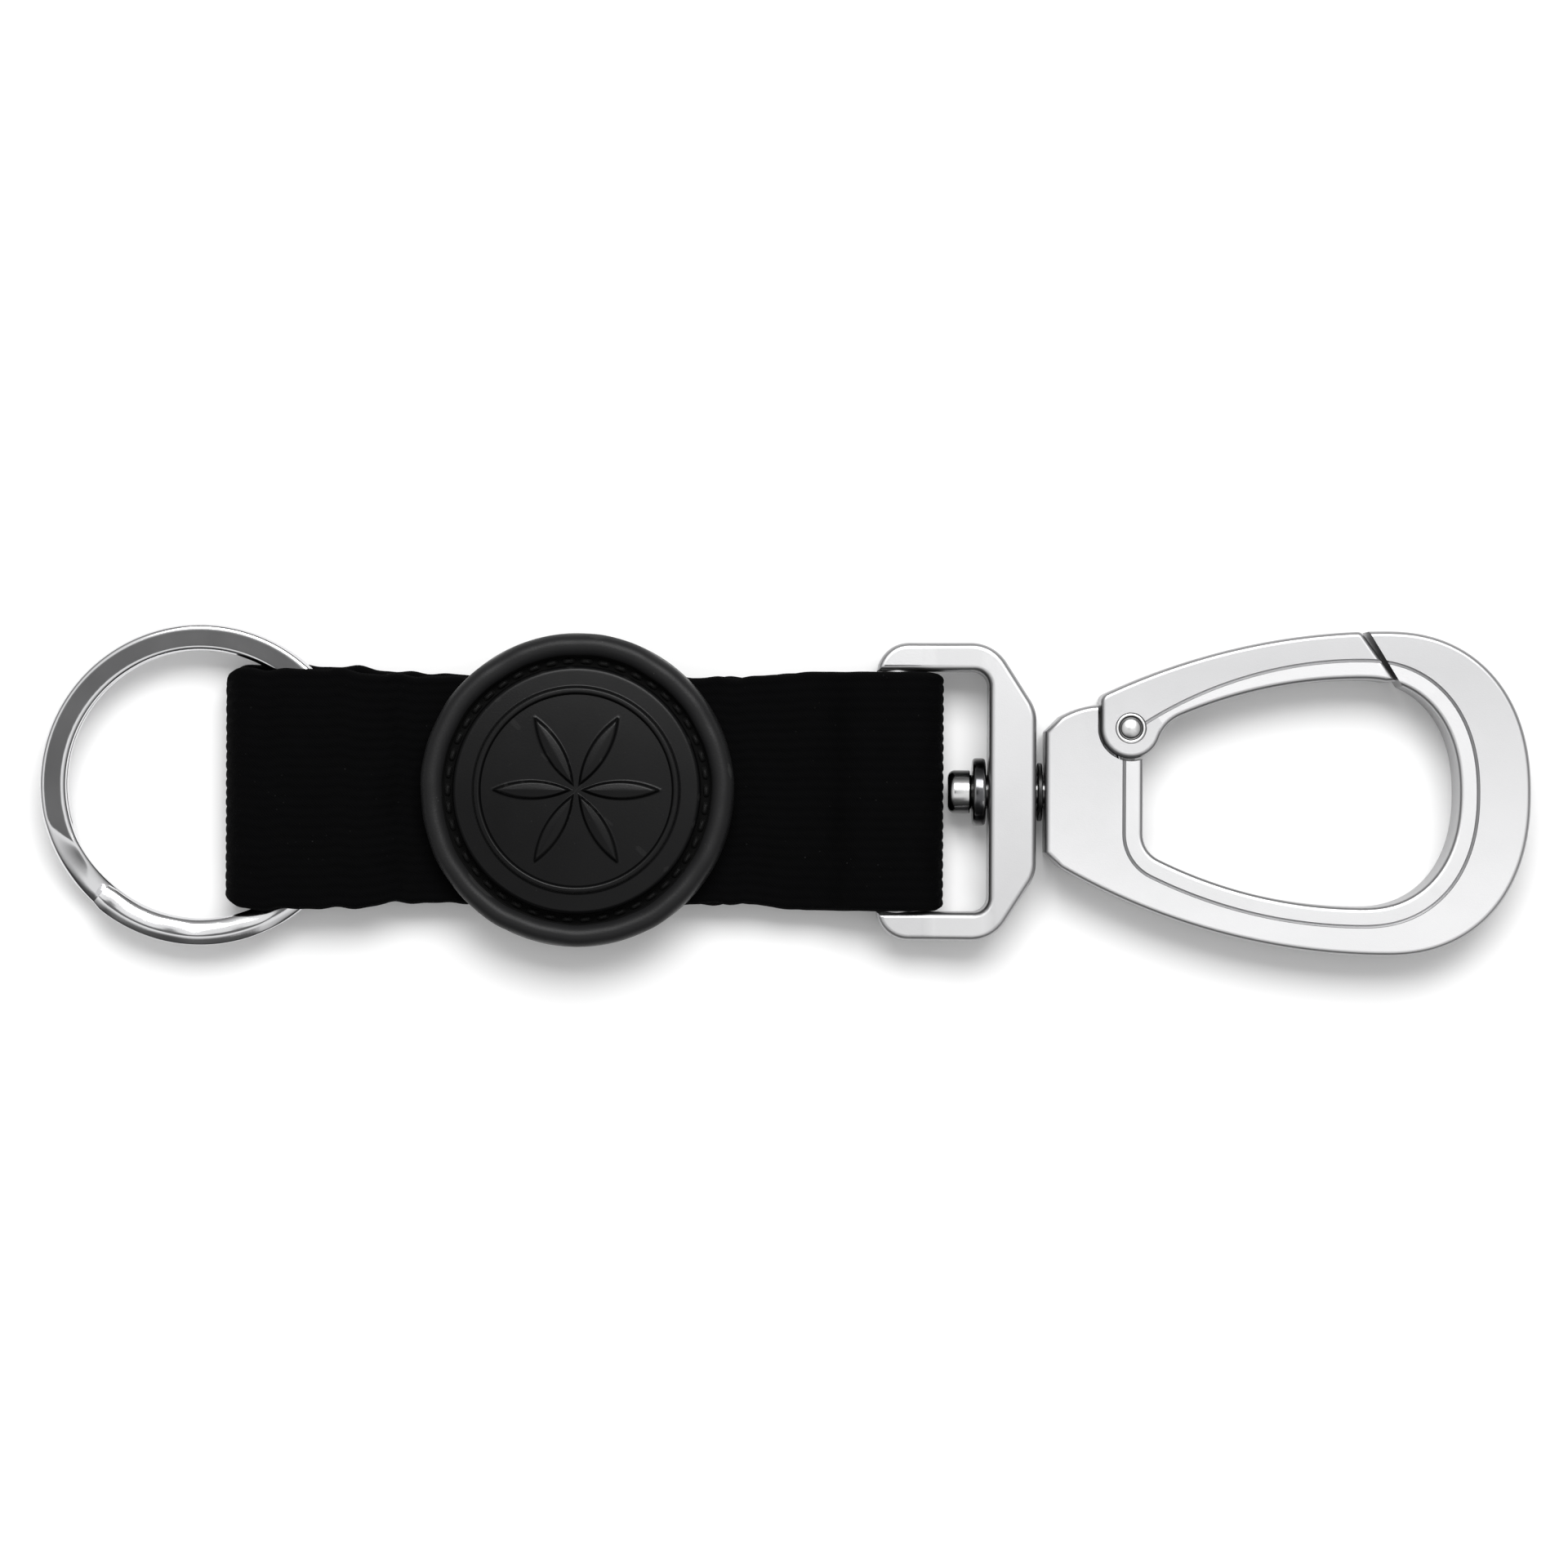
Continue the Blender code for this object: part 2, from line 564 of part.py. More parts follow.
def thin_arms(mesh, thin_x, thick_x):
    """Draws the plate's faces in from the wall's thickness to the arms' thickness."""
    bm = bmesh.new()
    bm.from_mesh(mesh)
    steps = 4
    for i in range(steps + 1):
        geometry = list(bm.verts) + list(bm.edges) + list(bm.faces)
        at = (thin_x + (thick_x - thin_x) * i / steps, 0, 0)
        bmesh.ops.bisect_plane(bm, geom=geometry, plane_co=at, plane_no=(1, 0, 0), dist=0.001 * MM)
    for vert in bm.verts:
        share = min(max((vert.co.x - thin_x) / (thick_x - thin_x), 0), 1)
        blend = share * share * (3 - 2 * share)
        drop = (FRAME_WALL_THICKNESS - FRAME_ARM_THICKNESS) / 2 * (1 - blend)
        vert.co.z -= math.copysign(drop, vert.co.z)
    bm.to_mesh(mesh)
    bm.free()


# Swivel post and washers. Their X runs from the hub's face, in the hook's frame.


def make_swivel(hook, material):
    """The headed post, cast into the hub by its collar, and the washers on it."""
    head_x = POST_HEAD_X - HOOK_X
    neck_x = head_x + POST_HEAD_LENGTH
    rounding_centre = (head_x + POST_HEAD_ROUND, POST_HEAD_RADIUS - POST_HEAD_ROUND)
    rounding = arc(rounding_centre, POST_HEAD_ROUND, 180, 90, 3)
    foot_x = POST_DEPTH - POST_FOOT_LENGTH
    profile = [(head_x, 0)] + [(p.x, p.y) for p in rounding]
    profile += [(neck_x, POST_HEAD_RADIUS), (neck_x, POST_RADIUS)]
    profile += [(foot_x, POST_RADIUS), (foot_x, POST_FOOT_RADIUS)]
    profile += [(POST_DEPTH, POST_FOOT_RADIUS), (POST_DEPTH, 0)]
    place("swivel_post", turned("swivel_post", profile, "X"), hook, (0, 0, 0), material)
    washers = [
        ("head_washer", HEAD_WASHER_X, HEAD_WASHER_RADIUS, HEAD_WASHER_THICKNESS),
        ("thrust_washer", THRUST_WASHER_X, THRUST_WASHER_RADIUS, THRUST_WASHER_THICKNESS),
    ]
    for name, start_x, radius, thickness in washers:
        make_washer(name, start_x - HOOK_X, radius, thickness, hook, material)


def make_washer(name, start_x, radius, thickness, hook, material):
    """A flat washer round the post, with its outer edges eased."""
    bore = POST_RADIUS + SEAT_GAP
    ease = thickness / 4
    profile = [
        (0, bore), (0, radius - ease), (ease, radius),
        (thickness - ease, radius), (thickness, radius - ease), (thickness, bore),
    ]
    place(name, turned(name, profile, "X"), hook, (start_x, 0, 0), material)


def make_post_cavity(hook):
    """The hollow that the post's neck and collar fill inside the hub."""
    neck = POST_RADIUS + SEAT_GAP
    collar = POST_FOOT_RADIUS + SEAT_GAP
    collar_x = POST_DEPTH - POST_FOOT_LENGTH - SEAT_GAP
    end_x = POST_DEPTH + SEAT_GAP
    profile = [(-MM, 0), (-MM, neck), (collar_x, neck), (collar_x, collar), (end_x, collar), (end_x, 0)]
    return place("post_cavity", turned("post_cavity", profile, "X"), hook)


# Hook outlines, in the hook's frame.


def flank_point(x):
    """Point of the hook's outer edge above X, between the hub's shoulder and the widest place."""
    reach = math.sqrt(FLANK_RADIUS**2 - (HOOK_WIDEST_X - x) ** 2)
    return Vector((x, FLANK_CENTRE_Y + reach))


def bow(widest_x, end_x, half_width, steps=BOW_STEPS):
    """The rounded end, from the upper side to the lower, as a superellipse."""
    points = []
    for i in range(steps + 1):
        turn = math.pi / 2 - math.pi * i / steps
        across = math.copysign(abs(math.sin(turn)) ** (2 / BOW_POWER), math.sin(turn))
        along = abs(math.cos(turn)) ** (2 / BOW_POWER)
        points.append(Vector((widest_x + (end_x - widest_x) * along, half_width * across)))
    return points


def mirrored(points):
    """The same stretch on the lower side, walked the other way."""
    return [Vector((p.x, -p.y)) for p in reversed(points)]


def gate_shoulder():
    """The hub's upper shoulder, which dips so that the gate's heel stands proud of it."""
    run = PIVOT_X - KNUCKLE_RADIUS - RUNNING_GAP - HUB_SHOULDER_X
    points = []
    for i in range(SHOULDER_STEPS + 1):
        share = i / SHOULDER_STEPS
        dip = Vector((0, SHOULDER_DIP * share**2))
        points.append(flank_point(HUB_SHOULDER_X + run * share) - dip)
    return points


def outer_outline():
    """The hook's outer edge, clockwise from the hub's upper corner."""
    span = HOOK_WIDEST_X - HUB_SHOULDER_X
    corner = Vector((0, HUB_FACE_HALF))
    flank = [flank_point(HUB_SHOULDER_X + span * i / FLANK_STEPS) for i in range(FLANK_STEPS)]
    upper = [corner] + gate_shoulder() + [p for p in flank if p.x > PIVOT_X]
    end = bow(HOOK_WIDEST_X, HOOK_LENGTH, HOOK_HALF_WIDTH)
    return upper + end + mirrored([corner] + flank)


def opening_centres():
    """Centres of the opening's upper flank and of its upper corner by the hub."""
    flank = Vector((OPENING_WIDEST_X, OPENING_HALF_WIDTH - OPENING_FLANK_RADIUS))
    corner_x = HUB_DEPTH + OPENING_CORNER_ROUND
    reach = OPENING_FLANK_RADIUS - OPENING_CORNER_ROUND
    corner = Vector((corner_x, flank.y + math.sqrt(reach**2 - (flank.x - corner_x) ** 2)))
    return flank, corner


def opening_upper(grow=0.0):
    """Upper side of the opening, from the hub's straight edge to the widest place."""
    flank, corner = opening_centres()
    lean = heading(corner - flank)
    points = arc(corner, OPENING_CORNER_ROUND + grow, 180, lean, 4)
    return points[:-1] + arc(flank, OPENING_FLANK_RADIUS + grow, lean, 90, FLANK_STEPS)


def opening_outline():
    """The edge of the space that takes a belt loop or a bag's ring."""
    upper = opening_upper()
    return upper[:-1] + bow(OPENING_WIDEST_X, OPENING_END_X, OPENING_HALF_WIDTH) + mirrored(upper[:-1])


def nose_line(gap_in, gap_out):
    """The slanted end of the gate or of the nose, from beyond the outer edge to inside the opening."""
    slant = Vector((math.cos(math.radians(NOSE_SLANT_DEG)), math.sin(math.radians(NOSE_SLANT_DEG))))
    start = flank_point(NOSE_OUTER_X)
    length = 2 * LIMB_WIDTH
    top = start + slant * LIMB_WIDTH / 2 - Vector((gap_out, 0))
    return top, start + slant * (LIMB_WIDTH / 2 - length) - Vector((gap_in, 0))


def groove_bars(name, path, parent):
    """V-section cutters along the path on both faces of the hook."""
    top_half = GROOVE_HALF_WIDTH * 2
    bm = bmesh.new()
    for side in (1, -1):
        face_z = side * HOOK_THICKNESS / 2
        top_z = side * GROOVE_DEPTH
        section = [(top_half, top_z), (0, -top_z), (-top_half, top_z)]
        frames = []
        for i, point in enumerate(path):
            along = (path[min(i + 1, len(path) - 1)] - path[max(i - 1, 0)]).normalized()
            across = Vector((-along.y, along.x, 0))
            frames.append((Vector((point.x, point.y, face_z)), across, Vector((0, 0, 1))))
        bar = swept(name, frames, section)
        bm.from_mesh(bar)
        bpy.data.meshes.remove(bar)
    mesh = bpy.data.meshes.new(name)
    bm.to_mesh(mesh)
    bm.free()
    return place(name, mesh, parent)


def border_paths():
    """Middle lines of the border groove: round the hook's body, and from the rivet along the gate."""
    end = bow(OPENING_WIDEST_X, OPENING_END_X + BORDER_OFFSET, OPENING_HALF_WIDTH + BORDER_OFFSET)
    lower = mirrored(opening_upper(BORDER_OFFSET))
    hub_top = Vector((HUB_DEPTH - BORDER_OFFSET, PIVOT_Y))
    across = math.sqrt(RIVET_HEAD_RADIUS**2 - GROOVE_START_RISE**2)
    start = PIVOT + Vector((across, GROOVE_START_RISE))
    run, rise = end[0] - start
    radius = (run**2 + rise**2) / (2 * rise)
    centre = end[0] - Vector((0, radius))
    gate_line = arc(centre, radius, heading(start - centre), 90, FLANK_STEPS)
    return end[:-1] + lower + [hub_top], gate_line + end[1:3]


# Hook body.


def make_hook_body(hook, grooves, material):
    """The cast link with its hub, nose and the lug that the gate turns on."""
    mesh = plate("hook_body", outer_outline(), HOOK_THICKNESS, opening_outline(), edge=HOOK_EDGE)
    body = place("hook_body", mesh, hook, (0, 0, 0), material)
    combine(body, make_gate_space(hook))
    combine(body, make_lug(hook), "UNION")
    combine(body, make_post_cavity(hook))
    bore = turned_pin("lug_bore", RIVET_RADIUS + RUNNING_GAP, HOOK_THICKNESS)
    combine(body, place("lug_bore", bore, hook, (PIVOT_X, PIVOT_Y, 0)))
    combine(body, make_spring_notch(hook))
    combine(body, grooves)
    return body


def turned_pin(name, radius, length):
    """A plain round pin along Z, centred."""
    half = length / 2
    return turned(name, [(-half, 0), (-half, radius), (half, radius), (half, 0)], "Z", 24)


def make_gate_space(hook):
    """Everything that the gate fills or swings through, with its clearance."""
    clear = KNUCKLE_RADIUS + RUNNING_GAP
    above = HOOK_HALF_WIDTH + LIMB_WIDTH
    top, bottom = nose_line(0, 0)
    below = Vector((PIVOT_X + KNUCKLE_RADIUS + KNUCKLE_FILLET, PIVOT_Y - KNUCKLE_RADIUS))
    outline = arc(PIVOT, clear, 180, 318, 12)
    outline += [below, Vector((bottom.x, below.y)), bottom, top]
    outline += [Vector((top.x, above)), Vector((PIVOT_X - clear, above))]
    return place("gate_space", plate("gate_space", outline, 2 * HOOK_THICKNESS), hook)


def make_lug(hook):
    """The tongue between the gate's cheeks. Its beak stops the gate when it is fully open."""
    stop_reach = spine_distance() - RUNNING_GAP
    beak_radius = stop_reach / math.cos(math.radians(36))
    beak_deg = spine_heading() - GATE_OPEN_DEG - 36
    easing = math.degrees(math.acos(LUG_RADIUS / beak_radius))
    outline = arc(PIVOT, LUG_RADIUS, -75, beak_deg - easing, 6)
    outline += arc(PIVOT, beak_radius, beak_deg, beak_deg, 1)[:1]
    outline += arc(PIVOT, LUG_RADIUS, beak_deg + easing, 180, 8)
    root_y = PIVOT_Y - KNUCKLE_RADIUS - LUG_ROOT
    outline += [Vector((outline[-1].x, root_y)), Vector((outline[0].x, root_y))]
    middle_z = RUNNING_GAP - GATE_SLOT_HALF + LUG_THICKNESS / 2
    return place("lug", plate("lug", outline, LUG_THICKNESS, middle_z=middle_z), hook)


def spine_heading():
    """Direction from the pivot to the nearest point of the gate's spine, in degrees."""
    return heading(PIVOT - FLANK_CENTRE)


def spine_distance():
    """From the pivot to the underside of the gate's spine."""
    return FLANK_RADIUS - GATE_SPINE - (PIVOT - FLANK_CENTRE).length


def spring_foot():
    """Where the spring's short leg ends, in its notch in the hub."""
    reach = KNUCKLE_RADIUS + RUNNING_GAP + SPRING_FOOT_REACH
    return arc(PIVOT, reach, SPRING_FOOT_DEG, SPRING_FOOT_DEG, 1)[0]


def make_spring_notch(hook):
    """A pocket in the hub that holds the spring's short leg."""
    foot = spring_foot()
    room = SPRING_WIRE_RADIUS + SEAT_GAP
    height = KNUCKLE_RADIUS
    corners = [
        (foot.x - room, foot.y - room), (foot.x + room, foot.y - room),
        (foot.x + room, foot.y + height), (foot.x - room, foot.y + height),
    ]
    bottom_z = spring_bottom() - SPRING_WIRE_RADIUS - SEAT_GAP
    thickness = 2 * room
    mesh = plate("spring_notch", [Vector(c) for c in corners], thickness, middle_z=bottom_z + room)
    return place("spring_notch", mesh, hook)


# Gate.


def fillet_centre():
    """Centre of the fillet between the gate's knuckle and its inner edge."""
    flank, _ = opening_centres()
    near = KNUCKLE_RADIUS + KNUCKLE_FILLET
    far = OPENING_FLANK_RADIUS - KNUCKLE_FILLET
    apart = (flank - PIVOT).length
    along = (near**2 - far**2 + apart**2) / (2 * apart)
    aside = math.sqrt(near**2 - along**2)
    direction = (flank - PIVOT).normalized()
    return PIVOT + direction * along + Vector((-direction.y, direction.x)) * aside


def gate_outline():
    """The gate's edge, clockwise from the top of its heel."""
    heel_x = PIVOT_X - KNUCKLE_RADIUS
    tip_top, tip_bottom = nose_line(TIP_GAP, TIP_GAP_OUTER)
    slant = tip_bottom - tip_top
    outer_x = tip_x_at(tip_top, slant, HOOK_HALF_WIDTH)
    span = outer_x - heel_x
    outline = [flank_point(heel_x + span * i / FLANK_STEPS) for i in range(FLANK_STEPS + 1)]
    end = bow(OPENING_WIDEST_X, OPENING_END_X, OPENING_HALF_WIDTH)
    inner_x = tip_x_at(tip_top, slant, end[2].y)
    outline.append(Vector((inner_x, end[2].y)))
    outline += [p for p in reversed(end[:3]) if p.x < inner_x - 2 * HOOK_EDGE]
    flank, _ = opening_centres()
    fillet = fillet_centre()
    lean = heading(fillet - flank)
    outline += arc(flank, OPENING_FLANK_RADIUS, 90, lean, FLANK_STEPS)[1:]
    knuckle_deg = heading(fillet - PIVOT)
    outline += arc(fillet, KNUCKLE_FILLET, lean, knuckle_deg + 180, 5)[1:]
    outline += arc(PIVOT, KNUCKLE_RADIUS, knuckle_deg, -180, 9)[1:]
    return outline


def tip_x_at(point, direction, y):
    """X of a slanted line where it crosses the given Y."""
    return point.x + direction.x * (y - point.y) / direction.y


def make_gate(hook, grooves, material):
    """The hinged side of the hook: two cheeks and a spine, hollow round the lug and spring."""
    outline = [p - PIVOT for p in gate_outline()]
    mesh = plate("hook_gate", outline, HOOK_THICKNESS, edge=HOOK_EDGE)
    gate = place("hook_gate", mesh, hook, (PIVOT_X, PIVOT_Y, 0), material)
    combine(gate, make_gate_slot(hook))
    combine(gate, place("gate_bore", rivet_bore(), hook, (PIVOT_X, PIVOT_Y, 0)))
    combine(gate, grooves)


def rivet_bore():
    """The hole through both cheeks, sunk at each face for the rivet's heads."""
    hole = RIVET_RADIUS + RUNNING_GAP
    sink = RIVET_HEAD_RADIUS + SEAT_GAP
    seat = HOOK_THICKNESS / 2 - RIVET_SEAT_DEPTH
    profile = [(-HOOK_THICKNESS, 0), (-HOOK_THICKNESS, sink), (-seat, sink), (-seat, hole)]
    profile += [(-z, radius) for z, radius in reversed(profile)]
    return turned("gate_bore", profile, "Z", 24)


def make_gate_slot(hook):
    """The space between the cheeks, open at the heel and at the inner edge."""
    radius = FLANK_RADIUS - GATE_SPINE
    left_x = PIVOT_X - 2 * KNUCKLE_RADIUS
    right_x = PIVOT_X + GATE_SLOT_LENGTH
    start, end = (math.degrees(math.acos((x - HOOK_WIDEST_X) / radius)) for x in (left_x, right_x))
    floor_y = PIVOT_Y - 2 * KNUCKLE_RADIUS
    outline = arc(FLANK_CENTRE, radius, start, end, 6)
    outline += [Vector((right_x, floor_y)), Vector((left_x, floor_y))]
    return place("gate_slot", plate("gate_slot", outline, 2 * GATE_SLOT_HALF), hook)


# Rivet and spring.


def make_rivet(hook, material):
    """The pin that the gate turns on, peened to a low dome at both ends."""
    under = RIVET_HEAD_BASE
    dome_radius = (RIVET_HEAD_RADIUS**2 + RIVET_HEAD_HEIGHT**2) / (2 * RIVET_HEAD_HEIGHT)
    spread = math.degrees(math.asin(RIVET_HEAD_RADIUS / dome_radius))
    dome = arc((0, under + RIVET_HEAD_HEIGHT - dome_radius), dome_radius, 90, 90 - spread, 3)
    upper = [(p.y, p.x) for p in dome] + [(under, RIVET_RADIUS)]
    upper[0] = (upper[0][0], 0)
    profile = upper + [(-z, r) for z, r in reversed(upper)]
    place("gate_rivet", turned("gate_rivet", profile, "Z", 24), hook, (PIVOT_X, PIVOT_Y, 0), material)


def spring_bottom():
    """Height of the middle of the spring's lowest wire, just clear of the lug."""
    lug_top = RUNNING_GAP - GATE_SLOT_HALF + LUG_THICKNESS
    return lug_top + SEAT_GAP + SPRING_WIRE_RADIUS


def make_spring(hook, material):
    """A torsion spring round the rivet. One leg lies under the gate's spine, one in the hub."""
    coil_radius = RIVET_RADIUS + RUNNING_GAP + SPRING_WIRE_RADIUS
    foot = spring_foot() - PIVOT
    foot_deg = heading(foot) - math.degrees(math.acos(coil_radius / foot.length))
    leg_deg = SPRING_LEG_DEG + 90
    sweep = foot_deg + 360 - leg_deg + 360 * SPRING_TURNS
    bottom = spring_bottom()
    steps = 14 * SPRING_TURNS + 4
    points = [Vector((foot.x, foot.y, bottom))]
    for i in range(steps + 1):
        angle = math.radians(foot_deg + 360 - sweep * i / steps)
        height = bottom + SPRING_PITCH * sweep / 360 * i / steps
        points.append(Vector((coil_radius * math.cos(angle), coil_radius * math.sin(angle), height)))
    print_least_gap("gate_spring", points[1:], 14, 2 * SPRING_WIRE_RADIUS)
    lean = math.radians(SPRING_LEG_DEG)
    points.append(points[-1] + SPRING_LEG_LENGTH * Vector((math.cos(lean), math.sin(lean), 0)))
    curve = bpy.data.curves.new("gate_spring", "CURVE")
    curve.dimensions = "3D"
    curve.bevel_depth = SPRING_WIRE_RADIUS
    curve.bevel_resolution = 1
    curve.use_fill_caps = True
    spline = curve.splines.new("POLY")
    spline.points.add(len(points) - 1)
    for spot, point in zip(spline.points, points):
        spot.co = (*point, 1)
    curve.materials.append(material)
    spring = bpy.data.objects.new("gate_spring", curve)
    bpy.context.scene.collection.objects.link(spring)
    spring.parent = hook
    spring.location = (PIVOT_X, PIVOT_Y, 0)


def main():
    cord = start_scene()
    webbing = finish("black_webbing", (0.012, 0.012, 0.013), 0.85)
    rubber = finish("black_rubber", (0.03, 0.03, 0.031), 0.5)
    disc = finish("black_disc", (0.024, 0.024, 0.025), 0.42)
    steel = finish("bright_steel", (0.6, 0.6, 0.61), 0.16, 1.0)
    cast = finish("satin_cast_metal", (0.86, 0.86, 0.87), 0.38, 1.0)

    make_webbing(cord, webbing)
    make_badge(cord, rubber, disc)
    make_split_ring(cord, steel)
    make_swivel_frame(cord, cast)

    hook = bpy.data.objects.new("hook_axis", None)
    bpy.context.scene.collection.objects.link(hook)
    hook.parent = cord
    hook.location = (HOOK_X, 0, 0)
    on_body, on_gate = border_paths()
    make_hook_body(hook, groove_bars("body_grooves", on_body, hook), cast)
    make_gate(hook, groove_bars("gate_grooves", on_gate, hook), cast)
    make_swivel(hook, steel)
    make_rivet(hook, steel)
    make_spring(hook, steel)


main()
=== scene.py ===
# %% [markdown]
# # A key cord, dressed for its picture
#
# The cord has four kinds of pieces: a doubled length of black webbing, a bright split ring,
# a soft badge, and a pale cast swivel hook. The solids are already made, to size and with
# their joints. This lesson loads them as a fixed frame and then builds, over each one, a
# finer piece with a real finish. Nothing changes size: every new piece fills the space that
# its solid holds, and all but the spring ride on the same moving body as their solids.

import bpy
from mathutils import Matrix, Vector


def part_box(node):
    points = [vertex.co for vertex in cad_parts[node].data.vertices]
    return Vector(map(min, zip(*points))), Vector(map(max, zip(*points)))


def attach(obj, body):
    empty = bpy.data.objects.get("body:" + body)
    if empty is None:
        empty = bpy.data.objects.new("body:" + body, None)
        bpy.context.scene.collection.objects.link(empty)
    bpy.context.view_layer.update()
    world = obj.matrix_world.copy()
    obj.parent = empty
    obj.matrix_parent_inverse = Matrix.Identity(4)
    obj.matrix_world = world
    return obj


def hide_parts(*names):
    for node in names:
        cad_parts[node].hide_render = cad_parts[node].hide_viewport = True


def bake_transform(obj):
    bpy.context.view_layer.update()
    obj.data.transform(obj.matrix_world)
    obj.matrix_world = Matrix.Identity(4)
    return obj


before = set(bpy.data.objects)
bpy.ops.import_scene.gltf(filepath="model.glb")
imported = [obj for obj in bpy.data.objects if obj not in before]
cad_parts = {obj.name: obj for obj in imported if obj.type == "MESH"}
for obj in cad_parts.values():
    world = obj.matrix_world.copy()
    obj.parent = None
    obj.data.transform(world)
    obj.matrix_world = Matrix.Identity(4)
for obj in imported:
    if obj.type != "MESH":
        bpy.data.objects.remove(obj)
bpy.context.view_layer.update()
print("solids:", sorted(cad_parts))

# %% [markdown]
# Everything is in metres, +Z is up and the cord lies on the ground at Z = 0. Small work like
# this is easier to think about in millimetres, so sizes are written as a number times MM.

# %% Tools and units
import math

import bmesh
import bpy
import numpy as np
from mathutils import Matrix, Vector

MM = 0.001
scene = bpy.context.scene

# %% [markdown]
# ## The camera
#
# The picture is taken from straight above, about half a metre up. A long lens keeps the
# perspective weak, so that the far walls of the hook's opening only just show. The width of
# the picture is measured at the height of the hook's upper face. The cord doesn't lie quite
# level in the picture, so the camera is turned by a quarter of a degree.

# %% Camera straight above
PICTURE_WIDTH = 165.5 * MM
PICTURE_CENTRE_Y = 0.74 * MM
PICTURE_TURN = math.radians(0.26)
CAMERA_HEIGHT = 550 * MM
SENSOR_WIDTH = 36
HOOK_TOP_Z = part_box("hook_body")[1].z

lens_data = bpy.data.cameras.new("picture_camera")
lens_data.sensor_width = SENSOR_WIDTH
lens_data.lens = SENSOR_WIDTH * CAMERA_HEIGHT / PICTURE_WIDTH
lens_data.clip_start = 0.01
lens_data.clip_end = 50
camera = bpy.data.objects.new("picture_camera", lens_data)
camera.location = (0, PICTURE_CENTRE_Y, HOOK_TOP_Z + CAMERA_HEIGHT)
camera.rotation_euler.z = PICTURE_TURN
scene.collection.objects.link(camera)
scene.camera = camera
scene.view_settings.view_transform = "Standard"
print(f"lens: {lens_data.lens:.1f} mm")

# %% [markdown]
# ## Small helpers for shaders
#
# A material in Blender is a graph of nodes. A few helpers keep the graphs short to read. They
# add a node and fill or link its sockets, do a sum, stretch a range, draw a noise, and start a
# node group, which is an effect with named inputs and outputs that several materials can share.

# %% Shader helpers
def add_node(tree, kind, sockets=None, **settings):
    """A new node. A socket given as another node's output is linked, and a value is set."""
    node = tree.nodes.new(kind)
    for name, value in settings.items():
        setattr(node, name, value)
    for name, value in (sockets or {}).items():
        if isinstance(value, bpy.types.NodeSocket):
            tree.links.new(value, node.inputs[name])
        else:
            node.inputs[name].default_value = value
    return node


def math_node(tree, operation, first, second=0.0, clamp=False):
    """One sum, and the socket that its result comes out of."""
    node = add_node(tree, "ShaderNodeMath", {0: first, 1: second}, operation=operation)
    node.use_clamp = clamp
    return node.outputs[0]


def ramp(tree, value, start, end, low=0.0, high=1.0):
    """A number that goes from low to high while the value goes from start to end."""
    sockets = {"Value": value, "From Min": start, "From Max": end, "To Min": low, "To Max": high}
    return add_node(tree, "ShaderNodeMapRange", sockets).outputs[0]


def noise(tree, place, scale, detail=3.0, roughness=0.5):
    """A soft random pattern with values around a half."""
    sockets = {"Vector": place, "Scale": scale, "Detail": detail, "Roughness": roughness}
    return add_node(tree, "ShaderNodeTexNoise", sockets).outputs[0]


def start_group(name, inputs, outputs):
    """An empty shader group with number sockets, and the nodes at its two ends."""
    group = bpy.data.node_groups.new(name, "ShaderNodeTree")
    for label, value in inputs.items():
        socket = group.interface.new_socket(label, in_out="INPUT", socket_type="NodeSocketFloat")
        socket.default_value = value
    for label in outputs:
        group.interface.new_socket(label, in_out="OUTPUT", socket_type="NodeSocketFloat")
    return group, group.nodes.new("NodeGroupInput"), group.nodes.new("NodeGroupOutput")


def place_in_mm(tree):
    """Where a point lies on its piece, in millimetres, so that textures keep a real scale."""
    coordinates = add_node(tree, "ShaderNodeTexCoord")
    scaled = add_node(
        tree, "ShaderNodeVectorMath", {0: coordinates.outputs["Object"], "Scale": 1 / MM},
        operation="SCALE",
    )
    return scaled.outputs[0]


# %% [markdown]
# ## Effects that the finishes share
#
# **Grain** is the fine unevenness of cast, moulded or brushed surfaces. It could be a
# displaced mesh, but at a tenth of a millimetre a height for a Bump node looks the same and
# costs nothing. A second, much slower noise is a tone that changes the gloss in patches.

# %% Group: fine grain
def make_grain_group():
    group, start, end = start_group(
        "fine_grain", {"Size": 0.2, "Stretch": 1.0}, ["Height", "Tone"]
    )
    place = place_in_mm(group)
    shape = add_node(
        group, "ShaderNodeCombineXYZ", {"X": 1.0, "Y": start.outputs["Stretch"], "Z": 1.0}
    )
    drawn = add_node(
        group, "ShaderNodeVectorMath", {0: place, 1: shape.outputs[0]}, operation="MULTIPLY"
    )
    frequency = math_node(group, "DIVIDE", 1.0, start.outputs["Size"])
    height = noise(group, drawn.outputs[0], frequency, roughness=0.6)
    group.links.new(height, end.inputs["Height"])
    group.links.new(noise(group, place, 0.22, detail=2.0), end.inputs["Tone"])
    return group


FINE_GRAIN = make_grain_group()
print("made", FINE_GRAIN.name)

# %% [markdown]
# **Rubbed edges.** A metal casting in a pocket is polished where it touches things: along its
# convex edges. The Pointiness of the mesh says how convex a place is. The mask is broken up
# with noise, because real rubbing is never even.

